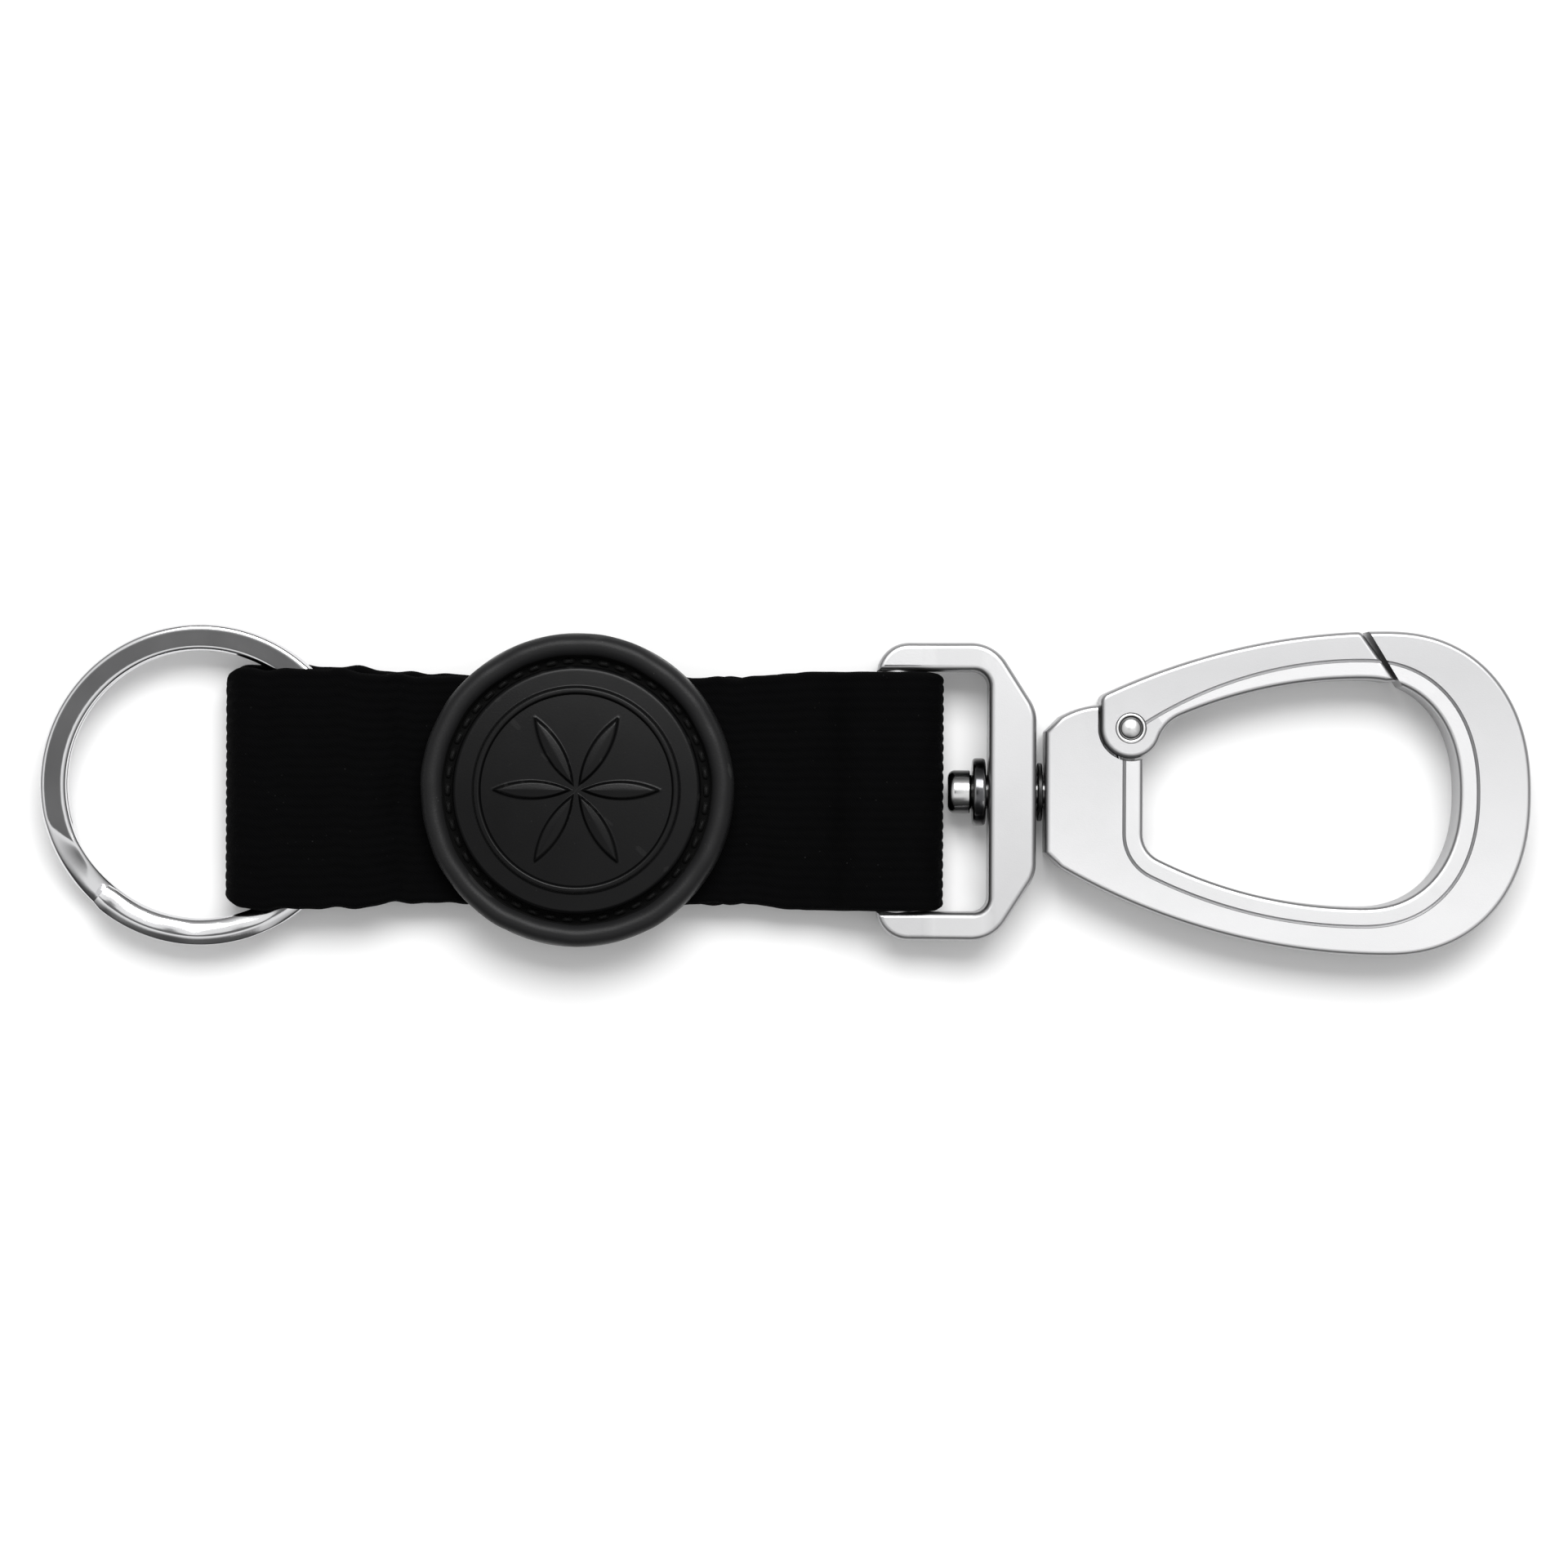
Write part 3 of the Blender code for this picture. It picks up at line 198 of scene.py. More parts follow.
# %% Group: rubbed edges
def make_rubbed_group():
    group, start, end = start_group(
        "rubbed_edges", {"From": 0.52, "To": 0.6, "Uneven": 0.5}, ["Mask"]
    )
    pointed = add_node(group, "ShaderNodeNewGeometry").outputs["Pointiness"]
    convex = ramp(group, pointed, start.outputs["From"], start.outputs["To"])
    patches = noise(group, place_in_mm(group), 0.8)
    gaps = math_node(group, "MULTIPLY", patches, start.outputs["Uneven"])
    mask = math_node(group, "SUBTRACT", convex, gaps, clamp=True)
    group.links.new(mask, end.inputs["Mask"])
    return group


RUBBED_EDGES = make_rubbed_group()
print("made", RUBBED_EDGES.name)

# %% [markdown]
# ** Painted side shade.** The upright sides and steep rims of a casting are painted a greyer
# colour, as painted shade along its outlines. The mask reads the surface's direction in the
# piece's own frame, so it stays with the piece when a joint turns.

# %% Group: painted side shade
def make_side_shade_group():
    group, start, end = start_group("painted_side_shade", {"Steep": 0.6, "Level": 0.95}, ["Mask"])
    coordinates = add_node(group, "ShaderNodeTexCoord")
    parts = add_node(group, "ShaderNodeSeparateXYZ", {0: coordinates.outputs["Normal"]})
    facing = math_node(group, "ABSOLUTE", parts.outputs["Z"])
    mask = ramp(group, facing, start.outputs["Level"], start.outputs["Steep"])
    group.links.new(mask, end.inputs["Mask"])
    return group


PAINTED_SIDE_SHADE = make_side_shade_group()
print("made", PAINTED_SIDE_SHADE.name)

# %% [markdown]
# **Dust.** Black things always show a little pale dust. A Voronoi texture gives separate
# spots, and a slow noise decides where on the piece they gather.

# %% Group: dust
def make_dust_group():
    group, start, end = start_group("pale_dust", {"Spacing": 0.7, "Amount": 0.3}, ["Mask"])
    place = place_in_mm(group)
    frequency = math_node(group, "DIVIDE", 1.0, start.outputs["Spacing"])
    spots = add_node(group, "ShaderNodeTexVoronoi", {"Vector": place, "Scale": frequency})
    speck = ramp(group, spots.outputs["Distance"], 0.1, 0.04)
    gathered = ramp(group, noise(group, place, 0.35, detail=2.0), 0.5, 0.7)
    mask = math_node(group, "MULTIPLY", speck, gathered)
    mask = math_node(group, "MULTIPLY", mask, start.outputs["Amount"], clamp=True)
    group.links.new(mask, end.inputs["Mask"])
    return group


PALE_DUST = make_dust_group()
print("made", PALE_DUST.name)

# %% [markdown]
# **Twisted yarn.** Webbing and sewing thread are both made of many fine filaments twisted
# together. A stretched wave, bent a little by noise, draws the filaments as slanting ridges.

# %% Group: twisted yarn
def make_yarn_group():
    group, start, end = start_group("twisted_yarn", {"Filament": 0.12}, ["Height", "Tone"])
    place = place_in_mm(group)
    frequency = math_node(group, "DIVIDE", 1.0, start.outputs["Filament"])
    filaments = add_node(
        group, "ShaderNodeTexWave",
        {
            "Vector": place, "Scale": math_node(group, "MULTIPLY", frequency, 0.3),
            "Distortion": 3.0, "Detail": 2.0, "Detail Scale": 2.0,
        },
        wave_type="BANDS", bands_direction="DIAGONAL",
    )
    fuzz = noise(group, place, frequency)
    height = math_node(group, "ADD", filaments.outputs["Fac"], fuzz)
    group.links.new(math_node(group, "MULTIPLY", height, 0.5), end.inputs["Height"])
    group.links.new(noise(group, place, 0.4), end.inputs["Tone"])
    return group


TWISTED_YARN = make_yarn_group()
print("made", TWISTED_YARN.name)

# %% [markdown]
# ## Starting a finish
#
# Each material begins with a Principled shader whose even values are set on its own sockets.
# Only what changes over the surface comes through nodes.

# %% Material helpers
def start_finish(name, **even_values):
    """A new material: its node tree, and its Principled shader with the even values set."""
    material = bpy.data.materials.new(name)
    material.use_nodes = True
    tree = material.node_tree
    shader = tree.nodes["Principled BSDF"]
    for label, value in even_values.items():
        shader.inputs[label.replace("_", " ")].default_value = value
    return material, tree, shader


def use_group(tree, group, **values):
    """Places a shared effect in a material, with this material's own values."""
    node = add_node(tree, "ShaderNodeGroup", node_tree=group)
    for label, value in values.items():
        node.inputs[label].default_value = value
    return node


def vary(tree, shader, label, mask, low, high):
    """Feeds a number socket of the shader with low where the mask is 0 and high where it is 1."""
    tree.links.new(ramp(tree, mask, 0.0, 1.0, low, high), shader.inputs[label])


def marks(tree, name):
    """The marks that the mesh of a piece carries under that name."""
    return add_node(tree, "ShaderNodeAttribute", attribute_name=name).outputs["Fac"]


def mix_colours(tree, mask, first, second, **settings):
    """A colour that goes from the first to the second with the mask. Each is RGB or a socket."""
    mix = add_node(tree, "ShaderNodeMix", {"Factor": mask}, data_type="RGBA", **settings)
    for label, colour in (("A", first), ("B", second)):
        if isinstance(colour, bpy.types.NodeSocket):
            tree.links.new(colour, mix.inputs[label])
        else:
            mix.inputs[label].default_value = (*colour, 1)
    return mix.outputs["Result"]


def add_bump(tree, shader, height, distance):
    """Turns a height from 0 to 1 into relief of that distance."""
    bump = add_node(tree, "ShaderNodeBump", {"Height": height, "Distance": distance})
    tree.links.new(bump.outputs[0], shader.inputs["Normal"])


# %% [markdown]
# ## Helpers for meshes
#
# Most pieces here are a closed outline carried along a path, so one helper skins a grid of
# points. Another puts the mesh in the scene, marks its sharp edges, names its finish, hides
# the solid that it stands for, and lets it ride on a body.

# %% Mesh helpers
def skin(name, rings, close_around=True, close_along=False, caps=False):
    """A mesh over a grid of points: rings[i][j] is point j of ring i."""
    grid = np.asarray(rings, float)
    along, around = grid.shape[:2]
    index = np.arange(along * around).reshape(along, around)
    if close_around:
        index = np.concatenate([index, index[:, :1]], axis=1)
    if close_along:
        index = np.concatenate([index, index[:1]], axis=0)
    quads = np.stack(
        [index[:-1, :-1], index[:-1, 1:], index[1:, 1:], index[1:, :-1]], axis=-1
    ).reshape(-1, 4)
    faces = quads.tolist()
    if caps:
        faces += [index[0, :around].tolist()[::-1], index[-1, :around].tolist()]
    mesh = bpy.data.meshes.new(name)
    mesh.from_pydata(grid.reshape(-1, 3).tolist(), [], faces)
    return mesh


def joined_skins(name, grids):
    """One mesh of separate skins with capped ends, one for each grid of points."""
    joined = bmesh.new()
    for grid in grids:
        one = skin("one", grid, caps=True)
        joined.from_mesh(one)
        bpy.data.meshes.remove(one)
    mesh = bpy.data.meshes.new(name)
    joined.to_mesh(mesh)
    joined.free()
    return mesh


def turn_out(mesh):
    """Makes all faces point out of the closed shape, and joins points that coincide."""
    shape = bmesh.new()
    shape.from_mesh(mesh)
    bmesh.ops.remove_doubles(shape, verts=shape.verts, dist=0.0005 * MM)
    bmesh.ops.recalc_face_normals(shape, faces=shape.faces)
    shape.to_mesh(mesh)
    shape.free()
    return mesh


def add_piece(name, mesh, body, material, stands_for=(), sharp_deg=35):
    """Puts a finished mesh in the scene as one piece, riding on a body if one is named."""
    turn_out(mesh)
    mesh.materials.clear()
    mesh.materials.append(material)
    mesh.shade_smooth()
    mesh.set_sharp_from_angle(angle=math.radians(sharp_deg))
    piece = bpy.data.objects.new(name, mesh)
    scene.collection.objects.link(piece)
    if body:
        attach(piece, body)
    if stands_for:
        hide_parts(*stands_for)
    print(f"{name}: {len(mesh.polygons)} faces, on {body}")
    return piece


def face_centres(mesh):
    """The middle of every face, as rows of x, y and z."""
    return np.array([face.center for face in mesh.polygons])


def mark_faces(mesh, name, marked):
    """Stores 1 on the marked faces and 0 on the others, for the finish to read."""
    mesh.attributes.new(name, "FLOAT", "FACE").data.foreach_set("value", marked.astype(float))
    print(f"{name}: {int(marked.sum())} of {len(marked)} faces")


def distance_to(line, places):
    """Shortest distance from each place to a line of plane points."""
    nearest = np.full(len(places), np.inf)
    for start, end in zip(np.array(line[:-1], float), np.array(line[1:], float)):
        run = end - start
        share = np.clip((places - start) @ run / max(run @ run, 1e-18), 0, 1)
        nearest = np.minimum(nearest, np.hypot(*(places - start - share[:, None] * run).T))
    return nearest


def smooth_step(share):
    """0 below 0, 1 above 1, and an even ease between."""
    share = np.clip(share, 0, 1)
    return share * share * (3 - 2 * share)


def at_heading(centre, radius, degrees):
    """The point of the plane that lies that far from the centre, at that heading."""
    angle = math.radians(degrees)
    return Vector(centre) + radius * Vector((math.cos(angle), math.sin(angle)))


def arc(centre, radius, start_deg, end_deg, steps):
    """Points of an arc in the plane, both ends included."""
    headings = [start_deg + (end_deg - start_deg) * i / steps for i in range(steps + 1)]
    return [at_heading(centre, radius, degrees) for degrees in headings]


def corner_curve(start, corner, end, steps):
    """Points of a quadratic curve from start to end, bent towards the corner."""
    shares = [i / steps for i in range(steps + 1)]
    return [start * (1 - t) ** 2 + corner * 2 * t * (1 - t) + end * t * t for t in shares]


# %% [markdown]
# ## Where things are
#
# The solids give the places: the cord's middle plane is half-way up the ring, the badge's
# centre is the middle of its disc, and the hook's own frame starts at its hub's face.

# %% Places
ring_low, ring_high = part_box("split_ring")
disc_low, disc_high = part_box("badge_disc")
strap_low, strap_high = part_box("webbing_strap")
MIDDLE_Z = (ring_low.z + ring_high.z) / 2
BADGE_X = (disc_low.x + disc_high.x) / 2
HOOK_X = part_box("hook_body")[0].x
print(f"middle plane at {MIDDLE_Z / MM:.2f} mm, badge at {BADGE_X / MM:.2f} mm")
print(f"hub face at {HOOK_X / MM:.2f} mm")

# %% [markdown]
# ## The webbing
#
# The real strap is one length of heavy black webbing. It passes through the ring, back under
# the badge, round the frame's bar and under the badge again, where its two ends are sewn in
# the lap. Cloth simulation would lose its firm, flat run, so the strap is skinned along the
# same middle line that the solid follows, and the weave is raised in the mesh itself.

# %% The webbing's middle line
WEB_WIDTH = 25 * MM
WEB_THICKNESS = 1.5 * MM
LAYER_Z = 0.875 * MM
LAP_Z = -2.625 * MM
RING_LOOP_Z = 2.56 * MM
BAR_LOOP_Z = 3.05 * MM
BEND_RADIUS = 5.5 * MM
LAP_BEND_RADIUS = 3.6 * MM
LAP_HALF = 7 * MM
LAP_BEND_X = 8 * MM
LAYERS_LEFT_X = -16.85 * MM
LAYERS_RIGHT_X = 24.9 * MM


def bend_run(rise, radius):
    """Length along X of two equal and opposite bends that climb by rise."""
    return 2 * radius * math.sin(math.acos(1 - abs(rise) / (2 * radius)))


def s_bend(start, end_z, radius, forward, steps=14):
    """Two opposite bends from a level stretch at start to a level stretch at end_z."""
    rise = end_z - start[1]
    lean = math.acos(1 - abs(rise) / (2 * radius))
    side = math.copysign(1, rise)
    first = [
        (start[0] + forward * radius * math.sin(lean * i / steps),
         start[1] + side * radius * (1 - math.cos(lean * i / steps)))
        for i in range(steps + 1)
    ]
    end_x = start[0] + forward * bend_run(rise, radius)
    return first + [(start[0] + end_x - x, start[1] + end_z - z) for x, z in reversed(first)][1:]


def u_turn(centre_x, half_height, forward, start_deg, steps=40):
    """Half a turn round a fold, from one layer to the other."""
    points = arc((0, 0), half_height, start_deg, -start_deg, steps)
    return [(centre_x + forward * abs(p.x), p.y) for p in points]


BAR_LOOP_START = LAYERS_RIGHT_X + bend_run(BAR_LOOP_Z - LAYER_Z, BEND_RADIUS)
RING_LOOP_START = LAYERS_LEFT_X - bend_run(RING_LOOP_Z - LAYER_Z, BEND_RADIUS)
BAR_FOLD_X = strap_high.x - BADGE_X - BAR_LOOP_Z - WEB_THICKNESS / 2
RING_FOLD_X = strap_low.x - BADGE_X + RING_LOOP_Z + WEB_THICKNESS / 2

web_line = [(-LAP_HALF, LAP_Z)]
web_line += s_bend((LAP_BEND_X, LAP_Z), -LAYER_Z, LAP_BEND_RADIUS, 1)
web_line += s_bend((LAYERS_RIGHT_X, -LAYER_Z), -BAR_LOOP_Z, BEND_RADIUS, 1)
web_line += u_turn(BAR_FOLD_X, BAR_LOOP_Z, 1, -90)
web_line += s_bend((BAR_LOOP_START, BAR_LOOP_Z), LAYER_Z, BEND_RADIUS, -1)
web_line += s_bend((LAYERS_LEFT_X, LAYER_Z), RING_LOOP_Z, BEND_RADIUS, -1)
web_line += u_turn(RING_FOLD_X, RING_LOOP_Z, -1, 90)
web_line += s_bend((RING_LOOP_START, -RING_LOOP_Z), -LAYER_Z, BEND_RADIUS, 1)
web_line += [(LAP_HALF, -LAYER_Z)]
web_line = np.array(web_line)
web_steps = np.hypot(*np.diff(web_line, axis=0).T)
web_distance = np.concatenate([[0], np.cumsum(web_steps)])
WEB_LENGTH = web_distance[-1]
print(f"the webbing is {WEB_LENGTH / MM:.1f} mm long")

# %% [markdown]
# The weave is a set of lengthwise ribs that dive under the cross yarn by turns, so the face
# is covered in small pips. Each pip is a half wave across and a flattened half wave along,
# and neighbouring ribs are half a pitch apart. The edges wander a little, as those of a strap
# in use do.

# %% Weave relief and wandering edges
RIBS = 24
RIB_POINTS = 4
PIP_LENGTH = 1.5 * MM
PIP_DEPTH = 0.13 * MM
STATION = 0.35 * MM


def pip_relief(across, along):
    """How far the face sinks below its highest level, for points across and along the strap."""
    rib = np.floor(across * RIBS)
    hump = np.sin(np.pi * (across * RIBS - rib))
    wave = np.abs(np.sin(np.pi * (along / PIP_LENGTH + 0.5 * (rib % 2))))
    return PIP_DEPTH * (1 - hump**0.6 * (0.35 + 0.65 * wave**0.7))


def edge_wander(along, seed):
    """How far an edge strays outwards, from slow waves of three lengths."""
    waves = [(5.6, 0.13, 0.0), (8.9, 0.08, 1.7), (3.1, 0.06, 4.1)]
    stray = sum(
        size * np.sin(2 * np.pi * along / (length * MM) + phase + seed)
        for length, size, phase in waves
    )
    return stray * MM


stations = np.linspace(0, WEB_LENGTH, int(WEB_LENGTH / STATION) + 1)
line_x = np.interp(stations, web_distance, web_line[:, 0])
line_z = np.interp(stations, web_distance, web_line[:, 1])
tangent = np.stack([np.gradient(line_x), np.gradient(line_z)], axis=1)
for _ in range(3):
    tangent[1:-1] = (tangent[:-2] + 2 * tangent[1:-1] + tangent[2:]) / 4
tangent /= np.linalg.norm(tangent, axis=1)[:, None]
normal = np.stack([-tangent[:, 1], tangent[:, 0]], axis=1)
print(len(stations), "stations along the webbing")

# %% [markdown]
# Where the strap is sewn under the badge it is drawn in, and over the ring and the bar it
# spreads out flat to its full width. The frame's arms guide it at the bar, so its edges run
# straighter there and stay just inside the slot, which leaves the frame free to swing. At each
# fold its corners are rounded.

# %% The webbing's width
WAIST_HALF = 12.02
RING_SPREAD, BAR_SPREAD = 0.68, 0.63
RING_SPREAD_X, RING_SPREAD_RUN = -17 * MM, 10 * MM
BAR_SPREAD_X, BAR_SPREAD_RUN = 17 * MM, 8 * MM
FOLD_CORNER = 1.6 * MM
RING_CORNER_DEPTH, BAR_CORNER_DEPTH = 1.0 * MM, 0.25 * MM
guided = smooth_step((line_x - BAR_SPREAD_X) / BAR_SPREAD_RUN)


def web_half_width():
    """Half the strap's width at each station."""
    over_ring = smooth_step((RING_SPREAD_X - line_x) / RING_SPREAD_RUN)
    half = (WAIST_HALF + RING_SPREAD * over_ring + BAR_SPREAD * guided) * MM
    for end_x, depth in [(line_x.min(), RING_CORNER_DEPTH), (line_x.max(), BAR_CORNER_DEPTH)]:
        near = np.clip(1 - np.abs(line_x - end_x) / FOLD_CORNER, 0, 1)
        half = half - depth * (1 - np.sqrt(1 - near**2))
    return half


# %% [markdown]
# The lower layer of the ring's loop lies a little to one side of the upper one, as nobody folds
# a strap quite true. The edges are selvedges, thinner than the rest and without pips.

# %% Skin the webbing
SELVEDGE = 0.6 * MM
EDGE_THICKNESS = 0.3
LOWER_LAYER_SHIFT = 0.45 * MM
WANDER_SEEDS = (0.4, 2.9)


def web_rings():
    """A closed outline at each station: outer face, one edge, inner face, the other edge."""
    cells = RIBS * RIB_POINTS
    across = np.arange(cells + 1) / cells
    in_a_rib = np.clip(across, 0, 0.9999)
    rings = []
    low_layer = smooth_step((-line_z / MM) / 1.5 + 0.3)
    low_layer = low_layer * smooth_step((-10 * MM - line_x) / (8 * MM))
    upper_edge, lower_edge = [
        web_half_width() + edge_wander(stations, seed) * (1 - 0.85 * guided)
        for seed in WANDER_SEEDS
    ]
    for i, along in enumerate(stations):
        shift = LOWER_LAYER_SHIFT * low_layer[i]
        top = upper_edge[i] + shift
        bottom = -lower_edge[i] + shift
        y = bottom + (top - bottom) * across
        from_edge = np.minimum(y - bottom, top - y)
        full = np.sqrt(np.clip(1 - (1 - np.clip(from_edge / SELVEDGE, 0, 1)) ** 2, 0, 1))
        thick = WEB_THICKNESS / 2 * (EDGE_THICKNESS + (1 - EDGE_THICKNESS) * full)
        outer = thick - pip_relief(in_a_rib, along) * full
        inner = -thick + pip_relief(in_a_rib, along + PIP_LENGTH / 2) * full
        offsets = np.concatenate([outer, inner[::-1]])
        sides = np.concatenate([y, y[::-1]])
        x = BADGE_X + line_x[i] + normal[i, 0] * offsets
        z = MIDDLE_Z + line_z[i] + normal[i, 1] * offsets
        rings.append(np.stack([x, sides, z], axis=1))
    return np.array(rings)


webbing_mesh = skin("webbing_strap_woven", web_rings(), caps=True)

# %% [markdown]
# The finish of the webbing is nearly black nylon: rough, with a soft sheen where the yarn
# turns away from the eye, a slow change of tone, filaments in its relief, and a few specks
# of dust.

# %% Finish: black webbing
def webbing_finish():
    material, tree, shader = start_finish(
        "black_woven_nylon", Roughness=0.82, Specular_IOR_Level=0.03,
        Sheen_Weight=0.004, Sheen_Roughness=0.5,
    )
    yarn = use_group(tree, TWISTED_YARN, Filament=0.16)
    dust = use_group(tree, PALE_DUST, Spacing=0.9, Amount=0.35)
    tone = yarn.outputs["Tone"]
    black = mix_colours(tree, tone, (0.0008, 0.0008, 0.0009), (0.002, 0.002, 0.0022))
    dusty = mix_colours(tree, dust.outputs["Mask"], black, (0.05, 0.05, 0.05))
    tree.links.new(dusty, shader.inputs["Base Color"])
    vary(tree, shader, "Roughness", tone, 0.75, 0.9)
    add_bump(tree, shader, yarn.outputs["Height"], 0.05 * MM)
    return material


BLACK_WEBBING = webbing_finish()
webbing = add_piece(
    "webbing_strap_woven", webbing_mesh, "strap", BLACK_WEBBING, ["webbing_strap"], 70
)
print(f"it was cut {WEB_WIDTH / MM:.0f} by {WEB_LENGTH / MM:.1f} mm before it was folded")

# %% [markdown]
# ## The split ring
#
# Two turns of flattened spring wire, ground at the ends, with a jog where the wire steps
# from the upper turn to the lower. The jog runs slantwise across the wire. The section has
# level faces and round edges, which draw the thin bright lines along a real ring. On the
# jog's side the wire is almost oval, leans inwards and is a little uneven from being bent.

# %% Coil the ring
RING_WIRE_WIDTH = 2.8 * MM
RING_WIRE_THICKNESS = 1.3 * MM
RING_WIRE_EDGE = 0.5 * MM
RING_TURN_GAP = 0.42 * MM
RING_JOG = math.radians(28)
RING_END_DEG = 228
RING_LEAN = math.radians(6)
JOG_SKEW = math.radians(8)
FACET_START = 0.6 * MM
FACET_SLOPE = 0.6
ROLLED_DEG, ROLLED_EASE_DEG = (203, 340), (34, 50)
RING_RADIUS = 15.6305 * MM
RING_X = ring_low.x + RING_RADIUS + RING_WIRE_WIDTH / 2
RING_Y = 0.4 * MM
COIL_STEPS = 400


def wire_section(width, thickness, edge, steps=6):
    """A flattened wire: level faces and round edges."""
    half_w, half_t = width / 2, thickness / 2
    corners = [
        arc((half_w - edge, half_t - edge), edge, 0, 90, steps),
        arc((edge - half_w, half_t - edge), edge, 90, 180, steps),
        arc((edge - half_w, edge - half_t), edge, 180, 270, steps),
        arc((half_w - edge, edge - half_t), edge, 270, 360, steps),
    ]
    outline = []
    for number, corner in enumerate(corners):
        outline += [tuple(p) for p in corner]
        if number in (0, 2):
            side = 1 if number == 0 else -1
            spread = np.linspace(half_w - edge, edge - half_w, 9)[1:-1] * side
            outline += [(float(a), side * half_t) for a in spread]
    return outline


def rolled_height(a):
    """Half the thickness of the rolled wire: oval inside its middle, a slanting facet outside."""
    half = RING_WIRE_THICKNESS / 2
    if a > 0:
        return half - FACET_SLOPE * max(0, a - FACET_START)
    return half * math.sqrt(max(0, 1 - (a / (RING_WIRE_WIDTH / 2)) ** 2))


def rolled_share(angle):
    """1 on the jog's side of the ring, where the wire is rounder and leans inwards, else 0."""
    degrees = math.degrees(angle) % 360
    from_start, to_end = degrees - ROLLED_DEG[0], ROLLED_DEG[1] - degrees
    eases = (from_start / ROLLED_EASE_DEG[0], to_end / ROLLED_EASE_DEG[1])
    return float(smooth_step(eases[0]) * smooth_step(eases[1]))


def coil_rings():
    """The wire's section at each step of its two turns, slightly smaller at the ground ends."""
    layer = (RING_WIRE_THICKNESS + RING_TURN_GAP) / 2
    sweep = 4 * math.pi - RING_JOG
    section = wire_section(RING_WIRE_WIDTH, RING_WIRE_THICKNESS, RING_WIRE_EDGE)
    rings = []
    for i in range(COIL_STEPS + 1):
        turned_by = sweep * i / COIL_STEPS
        angle = math.radians(RING_END_DEG) + turned_by
        near_end = min(i, COIL_STEPS - i)
        ease = 1 - 0.12 * max(0, 1 - near_end / 2)
        share = rolled_share(angle)
        roll = RING_LEAN * share * (1 + 0.4 * math.sin(15 * angle) + 0.2 * math.sin(26 * angle))
        ring_points = []
        for a, b in section:
            rolled = math.copysign(min(rolled_height(a), abs(b)), b)
            b = (b + (rolled - b) * 0.9 * share) * ease
            run = RING_JOG + JOG_SKEW * a / (RING_WIRE_WIDTH / 2)
            dropped = min(max((turned_by - 2 * math.pi + run) / run, 0), 1) ** 1.2
            height = MIDDLE_Z + layer * (1 - 2 * dropped)
            out = RING_RADIUS + a * ease * math.cos(roll) - b * math.sin(roll)
            up = a * ease * math.sin(roll) + b * math.cos(roll)
            ring_points.append(
                (RING_X + out * math.cos(angle), RING_Y + out * math.sin(angle), height + up)
            )
        rings.append(ring_points)
    return rings


ring_mesh = skin("split_ring_coiled", coil_rings(), caps=True)

# %% [markdown]
# Bright steel is a full metal with a low roughness. Fine scratches run round the ring from
# being threaded with keys, so the grain is stretched, and edges are a shade brighter. The
# swivel's pins are painted nearly black where they are seen at a slant, as painted shade along
# their rims, and faces marked for painted shade are painted dark grey.

# %% Finish: bright steel
def steel_finish(name, dark, bright, roughness, scratch, slant_shade=0.0):
    """Colours and roughness are each given from and to. Slant shade is how far the steel is painted
    nearly black where it is seen at a slant, as painted shade.
    """
    material, tree, shader = start_finish(name, Metallic=1.0)
    grain = use_group(tree, FINE_GRAIN, Size=scratch, Stretch=0.25)
    rubbed = use_group(tree, RUBBED_EDGES, From=0.51, To=0.56, Uneven=0.4)
    clean = mix_colours(tree, rubbed.outputs["Mask"], dark, bright)
    # Faces marked for painted shade are painted dark grey.
    steel_with_painted_shade = mix_colours(tree, marks(tree, "painted_shade_faces"), clean, (0.1, 0.1, 0.1))
    # Seen at a slant the steel is painted nearly black, as painted shade along its rims.
    turned_away = add_node(tree, "ShaderNodeLayerWeight", {"Blend": 0.5})
    slant_shade_mask = ramp(tree, turned_away.outputs["Facing"], 0.1, 0.4, high=slant_shade)
    steel_with_slant_shade = mix_colours(tree, slant_shade_mask, steel_with_painted_shade, (0.02, 0.02, 0.02))
    tree.links.new(steel_with_slant_shade, shader.inputs["Base Color"])
    vary(tree, shader, "Roughness", grain.outputs["Tone"], *roughness)
    add_bump(tree, shader, grain.outputs["Height"], 0.004 * MM)
    return material


RING_STEEL = steel_finish(
    "bright_ring_steel", (0.7, 0.7, 0.71), (0.85, 0.85, 0.86), (0.07, 0.14), 0.6
)
PIN_STEEL = steel_finish(
    "turned_pin_steel", (0.66, 0.66, 0.66), (0.8, 0.8, 0.8), (0.12, 0.2), 0.25, slant_shade=0.95
)
# The washers' dark colours are painted shade, for the gaps between the post's head, the frame and
# the hub.
WASHER_STEEL = steel_finish(
    "dark_washer_steel", (0.1, 0.1, 0.105), (0.5, 0.5, 0.5), (0.12, 0.2), 0.25, slant_shade=0.9
)
THRUST_STEEL = steel_finish(
    "black_washer_steel", (0.03, 0.03, 0.03), (0.08, 0.08, 0.08), (0.3, 0.4), 0.25, slant_shade=0.9
)
RIVET_STEEL = steel_finish(
    "peened_steel", (0.7, 0.7, 0.7), (0.8, 0.8, 0.8), (0.26, 0.34), 0.25
)
add_piece("split_ring_coiled", ring_mesh, "ring", RING_STEEL, ["split_ring"], 50)

# %% [markdown]
# ## The badge
#
# The badge is a soft rubber cup with a round rim, sewn through its floor to the webbing, and
# a harder disc bonded inside. Both are turned shapes, so their profile is spun round; the
# disc is a height field on a polar grid instead, because its relief isn't round.

